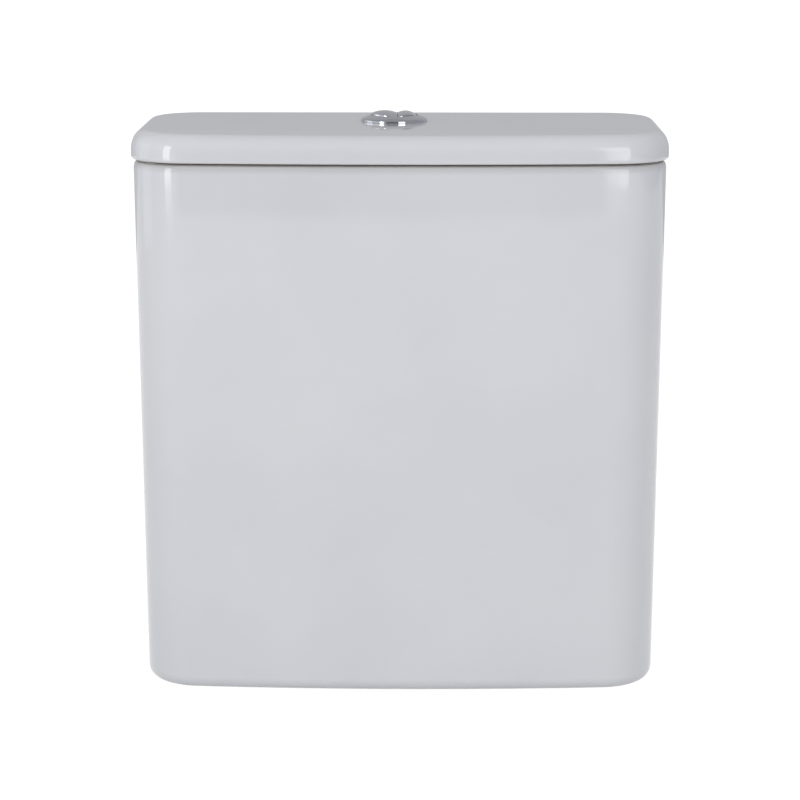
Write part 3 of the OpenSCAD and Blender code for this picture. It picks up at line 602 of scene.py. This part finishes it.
def blocks_tree():
    """Blocks set round an upright axis at even turns."""
    tree, given = new_tree("blocks_round", {
        "Count": "Int", "Radius": "Float", "First Turn": "Float", "Size": "Vector", "Axis": "Vector"})
    start = given["Count"]
    ring = start.node("GeometryNodeMeshCircle", None, {"Vertices": start, "Radius": given["Radius"]})
    turn = start.node("GeometryNodeInputIndex") * math.tau / start + given["First Turn"]
    spots = start.point(X=given["Radius"] * turn.maths("COSINE"), Y=given["Radius"] * turn.maths("SINE"))
    spots = spots.plus(given["Axis"])
    ring = start.node("GeometryNodeSetPosition", None, {"Geometry": ring, "Position": spots})
    block = start.node("GeometryNodeMeshCube", None, {"Size": given["Size"]}, out="Mesh")
    facing = start.point(Z=turn)
    set_round = start.node("GeometryNodeInstanceOnPoints", None, {
        "Points": ring, "Instance": block, "Rotation": facing})
    end_tree(tree, set_round, given["Finish"])
    return tree


blocks = blocks_tree()


def blocks_round(name, count, r, size, z, finish, axis=(0, 0), first=0.0):
    """Blocks of one size (outwards, along, up) at even turns round an axis, as one piece."""
    sizes = {"Count": count, "Radius": r * mm, "First Turn": math.radians(first),
             "Size": tuple(c * mm for c in size), "Axis": (axis[0] * mm, axis[1] * mm, z * mm)}
    return closed_up(grown(name, blocks, [([(0, 0, 0), (1, 0, 0)], False)], sizes, finish))


white_plastic = moulded("white_plastic", (0.78, 0.78, 0.75))
base_line = rounded([
    (23, -22, 0.4), (27, -22, 1.2), (27, -15, 0.2), (29, -15, 0.6), (29, 29, 0.3),
    (40, 29, 0.6), (40, 33, 0.6), (38, 33, 0.3), (38, 58, 0.4), (35.5, 58, 0.4),
    (35.5, 33, 0.5), (26, 33, 0.5), (26, 36, 1.2), (23, 36, 1.2),
], closed=True, steps=4)
base = turned("flush_valve_base", base_line, white_plastic,
              thread=dict(r=29, z0=-15, z1=25, pitch=3, depth=1.1))
joined(base, blocks_round("ports", 4, 28.5, (20, 38, 18), 44, white_plastic, first=45))
fitted(base, "valve_base")
fitted(washer("flange_washer", 39, 29.05, 26, 29, 0.6, black_rubber), "base_washer")
back_nut = flats("back_nut", 8, 38, 3, 14, 1.0, white_plastic)
joined(back_nut, turned("bore", [
    (0, 1), (30.2, 1), (30.2, 3), (29.05, 4.2), (29.05, 12.8), (30.2, 14), (30.2, 16), (0, 16)],
    white_plastic, closed=False))
joined(back_nut, blocks_round("grips", 8, 35.4, (1.4, 12, 7), 8.4, white_plastic, first=22.5), "UNION")
fitted(back_nut, "outlet_nut")
foam = foamed("grey_foam", (0.075, 0.075, 0.078))
foam_ring = turned("foam_ring", rounded([
    (29.05, -14, 2.5), (46, -14, 5), (46, 14, 2.2), (38.6, 14, 2.2), (38.6, 3, 0.6), (29.05, 3, 0.6),
], closed=True), foam)
fitted(foam_ring, "coupling_gasket")

# ---------- Tower and bridge
# The tower is a slotted cage snapped on the basket; it guides the float and the overflow tube.
# The grey bridge on top has two ears on either side of the tube, a short steel pin in each pair.


def eased(name, node, finish, ease):
    """A softened copy of a CAD node: its doubles merged, its edges given the mould's small radius."""
    work = bmesh.new()
    work.from_mesh(frame["nodes"][node].data)
    bmesh.ops.remove_doubles(work, verts=work.verts, dist=1e-6)
    bmesh.ops.dissolve_limit(work, angle_limit=math.radians(0.5), verts=work.verts, edges=work.edges)
    sharp = [e for e in work.edges if e.is_manifold and e.calc_face_angle(0) > math.radians(30)]
    bmesh.ops.bevel(work, geom=sharp, offset=ease * mm, offset_type="OFFSET", segments=2, profile=0.5,
                    affect="EDGES", clamp_overlap=True)
    outwards(work)
    return from_work(name, work, finish)


def copied(name, node, finish, ease=0.35):
    """A softened copy in its node's place."""
    fitted(eased(name, node, finish, ease), node)


grey_plastic = moulded("grey_plastic", (0.40, 0.41, 0.42), 0.36)
tower = turned("slotted_tower", rounded([
    (30.5, 58, 0.4), (38, 58, 0.6), (38, 63, 0.6), (33, 63, 0.8), (33, 282, 0.6), (12.35, 282, 0.5),
    (12.35, 278, 0.5), (30.5, 278, 1.5)], closed=True, steps=4), white_plastic)
for slot_z in (115, 216):
    joined(tower, blocks_round("slots", 4, 29, (18, 26, 89), slot_z, white_plastic))
joined(tower, blocks_round("ribs", 4, 32.9, (1.6, 2.4, 210), 171, white_plastic, first=45), "UNION")
fitted(tower, "valve_tower")
copied("tower_bridge", "valve_bridge", grey_plastic)
copied("pin_of_rockers", "rocker_pin", zinc, 0.3)

# ---------- Overflow tube and seal
# The tube is the valve's lifting spindle: water above its mouth runs down through it.
# At its foot a disc and a clamp hold the red silicone seal on the seat; a cup-shaped float
# is pressed on half-way up, and a grey collar with two lugs is lifted by the rockers.
red_rubber = rubber("red_silicone", (0.42, 0.035, 0.022), (0.50, 0.06, 0.04), 0.42)
pale_blue = moulded("pale_blue_plastic", (0.46, 0.62, 0.74), 0.3)
tube = turned("overflow_pipe", rounded([
    (10, 31.3, 0.4), (12, 31.3, 0.4), (12, 40.3, 0.2), (29, 40.3, 0.4), (29, 43.3, 0.8),
    (13.4, 43.3, 0.8), (12, 46.5, 0.8), (12, 343, 0.8), (10, 343, 0.8),
], closed=True, steps=4), white_plastic)
fitted(tube, "overflow_tube")
fitted(washer("red_seal", 30, 12.05, 36.3, 40.3, 0.9, red_rubber), "flush_seal")
fitted(washer("clamp_under_seal", 19, 12.05, 32.3, 36.3, 0.8, white_plastic), "seal_clamp")
copied("two_lug_collar", "lift_collar", grey_plastic)
fitted(turned("cup_float_of_valve", rounded([
    (12.05, 118, 0.4), (14.05, 118, 0.4), (14.05, 171, 1), (25.5, 171, 2), (25.5, 118, 0.6), (27.5, 118, 0.6),
    (27.5, 173, 3), (12.05, 173, 0.5)], closed=True), pale_blue), "flush_float")

# ---------- Rockers
# Two small moulded levers, each on its pin, with a pad under a push rod. The white one lifts the
# tube all the way for a full flush; the blue one's finger turns up to its own, higher lug.
blue_plastic = moulded("blue_plastic", (0.055, 0.19, 0.42), 0.3)
copied("full_rocker", "full_flush_rocker", white_plastic, 0.4)
copied("half_rocker", "half_flush_rocker", blue_plastic, 0.4)

# ---------- Fill valve
# The fill valve stands on the floor at the right, clamped through it by a washer and a hexagon nut.
# Its riser slides in the lower tube to set the height and is held by a blue lock ring;
# the head on top holds the rubber diaphragm under a screw cap with the ears of the lever.
fill_at = (fill_x, 0)
shank = turned("fill_lower_tube", rounded([
    (7, -26, 0.4), (10.475, -26, 0.9), (10.475, 5.5, 0.1), (10.195, 5.5, 0.1), (10.195, 29, 0.2),
    (19, 29, 0.5), (19, 33, 0.8), (14, 33, 1.2), (14, 198, 0.6), (11.05, 198, 0.6),
    (11.05, 59, 0.3), (7, 59, 0.3),
], closed=True, steps=4), white_plastic, fill_at,
    thread=dict(r=10.475, z0=-26, z1=5.5, pitch=1.8, depth=0.9))
fitted(shank, "fill_shank")
fitted(washer("inlet_rubber", 18, 10.245, 26, 29, 0.6, black_rubber, fill_at), "inlet_washer")
inlet_nut = flats("inlet_hexagon_nut", 6, 18.5, 6, 14, 0.9, white_plastic, fill_at)
joined(inlet_nut, turned("bore", [
    (0, 4), (11.4, 4), (11.4, 6), (10.245, 7.2), (10.245, 12.8), (11.4, 14), (11.4, 16), (0, 16)],
    white_plastic, fill_at, closed=False))
fitted(inlet_nut, "inlet_nut")
strainer = turned("inlet_filter", rounded([
    (0, -8.4, 0), (5.6, -8.4, 0.6), (5.6, -25, 0.3), (6.95, -25, 0.3), (6.95, -7, 1.0), (0, -7, 0),
]), blue_plastic, fill_at, closed=False)
for slit_z in (-21, -17.4, -13.8):
    joined(strainer, blocks_round("slits", 8, 6.3, (4, 2.2, 1.8), slit_z, blue_plastic, fill_at))
fitted(strainer, "inlet_strainer")
fitted(washer("sliding_riser", 11, 8, 59, 308, 0.5, white_plastic, fill_at), "fill_riser")
lock_ring = washer("blue_lock_ring", 17.4, 11.05, 198, 204, 0.7, blue_plastic, fill_at)
joined(lock_ring, blocks_round("grips", 24, 17.1, (1.5, 1.8, 4.6), 201, blue_plastic, fill_at), "UNION")
fitted(lock_ring, "riser_lock_ring")
head = turned("fill_valve_head", rounded([
    (11.05, 293, 0.5), (16, 293, 0.8), (16, 326, 0.3), (13, 326, 0.3), (13, 313, 0.8),
    (8, 313, 0.4), (8, 308, 0.2), (11.05, 308, 0.4)], closed=True), white_plastic, fill_at)
fitted(head, "fill_head")
fitted(turned("rubber_diaphragm", rounded([
    (0, 318, 0), (8, 318, 0.4), (8.6, 318.7, 0.4), (10.4, 318.7, 0.4), (11, 318, 0.4), (12.95, 318, 0.4),
    (12.95, 320, 0.4), (0, 320, 0)]), black_rubber, fill_at, closed=False), "fill_diaphragm")
cap = eased("ribbed_cap", "fill_cap", white_plastic, 0.35)
joined(cap, blocks_round("cap_ribs", 30, 17.3, (1.2, 1.5, 6), 330, white_plastic, fill_at), "UNION")
fitted(cap, "fill_cap")

# ---------- Float of the fill valve
# A cup-shaped float slides on the riser. Its thin steel link lifts the white lever on the cap,
# which shuts the water off when the tank is full.
copied("cup_float_of_fill_valve", "float_cup", pale_blue, 0.6)
copied("thin_link", "float_link", zinc, 0.3)
copied("slotted_lever", "float_lever", white_plastic, 0.4)
copied("pin_of_lever", "float_lever_pin", zinc, 0.25)

# ---------- Lid
# The lid is a second glazed casting that lies loose on the rim; four lugs under it keep it there.
# It is hollow below, and its top has a hole for the button and falls a little towards the front.
lid_z, lid_h = 383.3, 20.5
button_at = (-4.6, -11.5)
lid_line = casting_line(380, 172, 61.5, 41.5)
lid_section = [(inset, lid_z + z) for inset, z in (
    [(32, 10.5), (28, 10.5)]
    + rounded([(27, 10.5, 0), (24, 10.5, 3), (18, 0, 2), (3, 0, 0)])
    + lower_edge(0, 2.4, 1.4) + between((0, 2.4), (0, lid_h - 14.5), 2)
    + upper_edge(lid_h, 14.5, 10, 20)
    + [(11, lid_h), (13, lid_h), (18, lid_h), (26, lid_h), (34, lid_h)])]
lid_glaze = glazed("lid_glaze", (lid_z - 0.6) * mm)
lid = cast("glazed_lid", lid_line, lid_line, lid_section, 1.0, lid_glaze)
for lug_x, lug_y, half_x, half_y in (
        (-172.5, -23, 3, 30), (172.5, -23, 3, 30), (0, -92, 30, 3), (0, 46, 30, 3)):
    plan = rounded([(lug_x - half_x, lug_y - half_y, 2), (lug_x + half_x, lug_y - half_y, 2),
                    (lug_x + half_x, lug_y + half_y, 2), (lug_x - half_x, lug_y + half_y, 2)], closed=True)
    rings = []
    for share, z in ((0.75, -8), (0.93, -7.6), (0.99, -6.8), (1, -5.6), (1, 6)):
        by_x, by_y = (1 - (1 - share) * 3 / half for half in (half_x, half_y))
        rings.append([(lug_x + (x - lug_x) * by_x, lug_y + (y - lug_y) * by_y, lid_z + z) for x, y in plan])
    joined(lid, skinned("lug", rings, lid_glaze), "UNION")
hole_r, below, above = 21.5, lid_z + 7, lid_z + lid_h + 3
joined(lid, turned("drill", [(0, below), (hole_r, below), (hole_r, above), (0, above)],
                   lid_glaze, button_at, closed=False))
fall, fall_from, fall_run, fall_z = 1.3, -77, 33.5, 6
work = bmesh.new()
work.from_mesh(lid.data)
top = [f for f in work.faces
       if f.normal.z > 0.999 and len(f.verts) > 8 and f.verts[0].co.z > (lid_z + 15) * mm]
bmesh.ops.delete(work, geom=top, context="FACES")
bmesh.ops.triangle_fill(work, use_beauty=True, edges=[e for e in work.edges if e.is_boundary])
for v in work.verts:
    forward = max(0.0, min(1.0, (fall_from - v.co.y / mm) / fall_run))
    share = max(0.0, (v.co.z / mm - lid_z - fall_z) / (lid_h - fall_z))
    v.co.z -= fall * mm * share * forward ** 2 * (3 - 2 * forward)
outwards(work)
work.to_mesh(lid.data)
work.free()
fitted(lid, "lid")

# ---------- Button's barrel, gasket and bezel
# The barrel passes through the lid, an eight-sided nut clamps it from below, its foot guides the rods.
# On top the chromed bezel sits on a pale soft ring that keeps it off the glaze.


def chromed(name):
    """Chrome plate on plastic: dark mirror, faint wiping marks."""
    material, shader, place = new_finish(name)
    wiped = place.node("ShaderNodeMapping", None, {"Vector": place, "Scale": (90, 420, 420)}).noise(1.0, 3.0)
    wiped.mix((0.53, 0.55, 0.58, 1), (0.60, 0.62, 0.65, 1)).into(shader, "Base Color")
    shader.inputs["Metallic"].default_value = 1.0
    (0.03 + wiped * 0.07).into(shader, "Roughness")
    place.noise(160.0, 1.0).bump_into(shader, 0.05, 0.00008)
    return material


chrome = chromed("chrome_plate")
pale_ring = moulded("pale_soft_ring", (0.66, 0.67, 0.68), 0.45)
rod_spots = ((-10, -22), (3.4, -22))
barrel = turned("threaded_barrel", rounded([
    (0, 357.7, 0), (20.5, 357.7, 0.8), (20.5, 405.7, 0.3),
    (18.2, 405.7, 0.3), (18.2, 360.7, 0.6), (0, 360.7, 0),
]), white_plastic, button_at, closed=False, thread=dict(r=20.5, z0=358.7, z1=401, pitch=2.5, depth=0.9))
for at in rod_spots:
    joined(barrel, turned("guide_hole", [(0, 355), (3.35, 355), (3.35, 363), (0, 363)],
                          white_plastic, at, closed=False, steps=48))
fitted(barrel, "button_barrel")
barrel_nut = flats("eight_sided_nut", 8, 28, 386.8, 393.8, 0.8, white_plastic, button_at)
joined(barrel_nut, turned("bore", [
    (0, 384), (21.6, 384), (21.6, 386.8), (20.55, 388), (20.55, 396), (0, 396)],
    white_plastic, button_at, closed=False))
joined(barrel_nut, blocks_round("grips", 8, 26.1, (1.2, 9, 4.6), 390.2, white_plastic, button_at, 22.5),
       "UNION")
fitted(barrel_nut, "barrel_nut")
fitted(washer("pale_ring_under_bezel", 22.8, 20.55, 403.8, 404, 0.06, pale_ring, button_at),
       "bezel_gasket")
bezel = turned("chrome_bezel", rounded([
    (20.55, 404, 0), (23, 404, 0), (23.2, 403.83, 0), (24, 403.83, 0.03), (24, 405.4, 0.35),
    (22.9, 406.3, 1), (17.3, 408.55, 0.5), (16.9, 408.05, 0.3), (16.9, 405.7, 0), (20.55, 405.7, 0),
], closed=True), chrome, button_at, steps=160)
fitted(bezel, "button_bezel")

# ---------- The two buttons
# Two chromed caps fill the bezel's mouth, each with its own low dome, a wide one for the full flush
# and a narrow one for the half flush. A socket under each holds its push rod.
split_x, gap = 2.6, 0.09


def cap_plan(side, r, inset):
    """The plan of one cap: a round cut off along the split."""
    edge_x = split_x + side * (gap + 0.3 * inset)
    r = r - inset
    half = math.degrees(math.acos(max(-1.0, min(1.0, side * edge_x / r))))
    middle = 0 if side > 0 else 180
    bow = arc((0, 0), r, middle - half, middle + half, 72)
    return bow + between(bow[-1], bow[0], 40)


def push_cap(name, side, dome_r, dome_x, peak, narrow, long, rod_at):
    """A domed cap with its skirt, rounded along its edges, and the socket of its rod."""
    def dome(x, y):
        return peak - dome_r + math.sqrt(dome_r ** 2 - (narrow * (x - dome_x)) ** 2 - (long * y) ** 2)

    skirt, neck, edge = 17.9, 16.6, 0.45
    rings = [[(x, y, z) for x, y in cap_plan(side, r, inset)] for r, inset, z in (
        (skirt, 0.4, 397.4), (skirt, 0.0, 397.8), (skirt, 0.0, 405.1), (skirt, 0.3, 405.4),
        (neck, 0.0, 405.4), (neck, 0.0, 405.8))]
    for t in quarter(6):
        inset, drop = edge * (1 - math.cos(t)), edge * (1 - math.sin(t))
        rings.append([(x, y, dome(x, y) - drop) for x, y in cap_plan(side, neck, inset)])
    rim = cap_plan(side, neck, edge)
    for share in (0.93, 0.84, 0.72, 0.58, 0.44, 0.3, 0.18, 0.08):
        inner = [(dome_x + (x - dome_x) * share, y * share) for x, y in rim]
        rings.append([(x, y, dome(x, y)) for x, y in inner])
    rings = [[(x + button_at[0], y + button_at[1], z) for x, y, z in ring] for ring in rings]
    cap = skinned(name, rings, chrome)
    socket = turned("socket", rounded([
        (0, 396.4, 0), (3.05, 396.4, 0.3), (3.05, 387.4, 0.3),
        (4.2, 387.4, 0.3), (4.2, 398.8, 0), (0, 398.8, 0)]),
        chrome, rod_at, closed=False, steps=48)
    return joined(cap, socket, "UNION")


fitted(push_cap("full_flush_cap", -1, 29, -7.0, 411.4, 1.1, 0.72, rod_spots[0]),
       "full_flush_button")
fitted(push_cap("half_flush_cap", 1, 22, 8.0, 411.1, 1.38, 0.55, rod_spots[1]),
       "half_flush_button")

# ---------- Push rods and springs
# A threaded plastic rod is pushed into each cap, cut so that its round tip rests over its rocker.
# A coil spring of thin steel wire between the barrel's foot and the cap brings the button back up.


def coil_tree():
    """A coil spring: close turns at both ends, open turns between, from round wire."""
    tree, given = new_tree("coil_spring", {
        "Turns": "Float", "Steps": "Int", "Mean Radius": "Float", "Wire Radius": "Float", "Low": "Float",
        "Close Pitch": "Float", "Open Pitch": "Float", "Axis": "Vector"})
    start, turns = given["Steps"], given["Turns"]
    line = start.node("GeometryNodeCurvePrimitiveLine")
    line = start.node("GeometryNodeResampleCurve", None, {"Curve": line, "Count": start + 1})
    turn = start.node("GeometryNodeInputIndex") / start * turns
    close = turn.maths("MINIMUM", 1.0) + (turn - turns + 1).maths("MAXIMUM", 0.0)
    open_part = (turn - 1).maths("MAXIMUM", 0.0).maths("MINIMUM", turns - 2)
    angle = turn * math.tau
    place = start.point(
        X=given["Mean Radius"] * angle.maths("COSINE"), Y=given["Mean Radius"] * angle.maths("SINE"),
        Z=given["Low"] + close * given["Close Pitch"] + open_part * given["Open Pitch"]).plus(given["Axis"])
    line = start.node("GeometryNodeSetPosition", None, {"Geometry": line, "Position": place})
    wire = start.node("GeometryNodeCurvePrimitiveCircle", None,
                      {"Resolution": 12, "Radius": given["Wire Radius"]})
    coil = start.node("GeometryNodeCurveToMesh", None,
                      {"Curve": line, "Profile Curve": wire, "Fill Caps": True})
    end_tree(tree, coil, given["Finish"])
    return tree


spring_steel = plated("spring_steel", (0.42, 0.42, 0.43), (0.58, 0.58, 0.58), 0.2)
coil = coil_tree()
low, high, close_pitch, turns, wire_r, travel = 361.6, 386.5, 1.8, 7, 0.6, 7
for kind, at, rod_plastic, rod_slot in (
        ("full", rod_spots[0], white_plastic, "white_plastic"),
        ("half", rod_spots[1], blue_plastic, "blue_plastic")):
    rod_line = rounded([(0, 298.8, 0), (3, 298.8, 2.95), (3, 396.1, 0.4), (0, 396.1, 0)], steps=8)
    rod = turned(kind + "_rod", rod_line, rod_plastic, at, closed=False, steps=32,
                 thread=dict(r=3, z0=304, z1=352, pitch=2, depth=0.5))
    fitted(rod, kind + "_push_rod")
    spring = closed_up(grown(kind + "_spring", coil, [([(0, 0, 0), (1, 0, 0)], False)], {
        "Turns": float(turns), "Steps": turns * 40, "Mean Radius": 4 * mm, "Wire Radius": wire_r * mm,
        "Low": low * mm, "Close Pitch": close_pitch * mm,
        "Open Pitch": (high - low - 2 * close_pitch) / (turns - 2) * mm,
        "Axis": (at[0] * mm, at[1] * mm, 0)}, spring_steel))
    fitted(spring, kind + "_button_spring")
    kind + "_button_press"
    at[0] * mm
    at[1] * mm
    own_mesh(spring)

# ---------- Studio
# A white floor and a white surround, two soft lamps at the front, a weak one at the left, and cards
# that only mirrors see; the camera stands where the photograph's did, a little above the lid.


def set_of_light(tree):
    """1 for what the camera, mirrors and clear things see, 0 for light that falls on things."""
    path = tree.nodes.new("ShaderNodeLightPath")
    camera, glossy, clear = (Wire(tree, path.outputs[n]) for n in (
        "Is Camera Ray", "Is Glossy Ray", "Is Transmission Ray"))
    return camera.maths("MAXIMUM", glossy).maths("MAXIMUM", clear)


def shade(tree, kind, **values):
    """A node with its sockets set."""
    made = tree.nodes.new(kind)
    for key, value in values.items():
        made.inputs[key].default_value = value
    return made


def sheet(name, width, height, z=0):
    """A flat four-cornered mesh."""
    mesh = bpy.data.meshes.new(name)
    mesh.from_pydata([(x * width / 2, y * height / 2, z) for x, y in ((-1, -1), (1, -1), (1, 1), (-1, 1))],
                     [], [(0, 1, 2, 3)])
    return mesh


world = bpy.data.worlds.new("surround")
scene.world = world
world.use_nodes = True
tree = world.node_tree
sky = next(n for n in tree.nodes if n.type == "BACKGROUND")
sky.inputs["Color"].default_value = (1, 1, 1, 1)
ambient = 0.48
(set_of_light(tree) * (1 - ambient) + ambient).into(sky, "Strength")

ground_z, ground_width = -0.0285, 40
floor_mesh = sheet("white_floor", ground_width, ground_width, ground_z)
floor_paint = bpy.data.materials.new("white_floor")
floor_paint.use_nodes = True
tree = floor_paint.node_tree
tree.nodes.clear()
seen = set_of_light(tree)
paper = shade(tree, "ShaderNodeBsdfDiffuse", Color=(0.6, 0.6, 0.6, 1))
lit = shade(tree, "ShaderNodeBsdfDiffuse", Color=(0.2, 0.2, 0.2, 1))
glow = shade(tree, "ShaderNodeEmission", Color=(1, 1, 1, 1), Strength=0.97)
clear = shade(tree, "ShaderNodeBsdfTransparent")
bright = tree.nodes.new("ShaderNodeAddShader")
tree.links.new(lit.outputs[0], bright.inputs[0])
tree.links.new(glow.outputs[0], bright.inputs[1])
by_ray, by_side = (tree.nodes.new("ShaderNodeMixShader") for _ in range(2))
seen.into(by_ray, 0)
tree.links.new(paper.outputs[0], by_ray.inputs[1])
tree.links.new(bright.outputs[0], by_ray.inputs[2])
from_below = Wire(tree, tree.nodes.new("ShaderNodeNewGeometry").outputs["Backfacing"])
from_below.into(by_side, 0)
tree.links.new(by_ray.outputs[0], by_side.inputs[1])
tree.links.new(clear.outputs[0], by_side.inputs[2])
tree.links.new(by_side.outputs[0], tree.nodes.new("ShaderNodeOutputMaterial").inputs["Surface"])
floor_mesh.materials.append(floor_paint)
floor = bpy.data.objects.new("floor", floor_mesh)
scene.collection.objects.link(floor)


def soft_lamp(name, place, aim, width, height, power):
    """A lamp with a wide soft face, not seen itself by the camera."""
    lamp = bpy.data.lights.new(name, "AREA")
    lamp.shape, lamp.size, lamp.size_y, lamp.energy = "RECTANGLE", width, height, power
    made = bpy.data.objects.new(name, lamp)
    made.location = place
    made.rotation_euler = (Vector(aim) - Vector(place)).to_track_quat("-Z", "Y").to_euler()
    made.visible_camera = False
    scene.collection.objects.link(made)


def card(name, place, aim, width, height, level):
    """A plain card that only mirrors see."""
    mesh = sheet(name, width, height)
    paint = bpy.data.materials.new(name)
    paint.use_nodes = True
    paint.node_tree.nodes.clear()
    glow = shade(paint.node_tree, "ShaderNodeEmission", Color=(level, level, level * 1.05, 1), Strength=1.0)
    end = paint.node_tree.nodes.new("ShaderNodeOutputMaterial")
    paint.node_tree.links.new(glow.outputs[0], end.inputs["Surface"])
    mesh.materials.append(paint)
    made = bpy.data.objects.new(name, mesh)
    made.location = place
    made.rotation_euler = (Vector(aim) - Vector(place)).to_track_quat("Z", "Y").to_euler()
    made.visible_camera = made.visible_diffuse = made.visible_shadow = made.visible_transmission = False
    scene.collection.objects.link(made)


soft_lamp("left_lamp", (-1.48, -1.58, 0.85), (0, -0.05, 0.85), 0.5, 1.5, 10.2)
soft_lamp("right_lamp", (0.95, -1.9, 0.85), (0, -0.05, 0.85), 0.84, 1.5, 11.4)
soft_lamp("left_fill", (-2.2, 0.15, 0.5), (0, 0.15, 0.3), 1.0, 1.4, 3.0)
for name, place, aim, width, height, level in (
        ("card_behind", (0, 2, 1.3), (0, 0, 1.3), 6, 2.7, 0.49),
        ("card_above", (0, -1, 2.6), (0, -1, 0), 6, 7, 0.42),
        ("card_left", (-3, -0.8, 1.3), (0, -0.8, 1.3), 5.6, 2.7, 0.95),
        ("card_right", (3, -0.8, 1.3), (0, -0.8, 1.3), 5.6, 2.7, 0.38),
        ("card_front", (-0.15, -2.3, 0.75), (-0.15, 0, 0.75), 1.9, 1.6, 0.04),
        ("card_far_front", (0, -4.5, 1.3), (0, 0, 1.3), 6, 2.7, 0.4)):
    card(name, place, aim, width, height, level)
for name, x, y, width, levels in (
        ("left_fringe_", -1.48, -1.58, 0.5, (2.6, 1.5, 0.9)),
        ("right_fringe_", 0.95, -1.9, 0.84, (1.2, 1, 0.75))):
    for n, (z, height, level) in enumerate(zip((0.06, -0.03, -0.16), (0.08, 0.1, 0.16), levels)):
        card(name + str(n + 1), (x, y, z), (0, -0.05, z), width, height, level)

eye = bpy.data.cameras.new("photo_eye")
eye.lens, eye.sensor_width = 113.51, 36
camera = bpy.data.objects.new("photo_eye", eye)
camera.location = (0.02073, -1.84426, 0.58763)
camera.rotation_euler = (math.radians(90 - 12.042), 0, math.radians(0.66))
scene.collection.objects.link(camera)
scene.camera = camera
scene.view_settings.view_transform = "Standard"
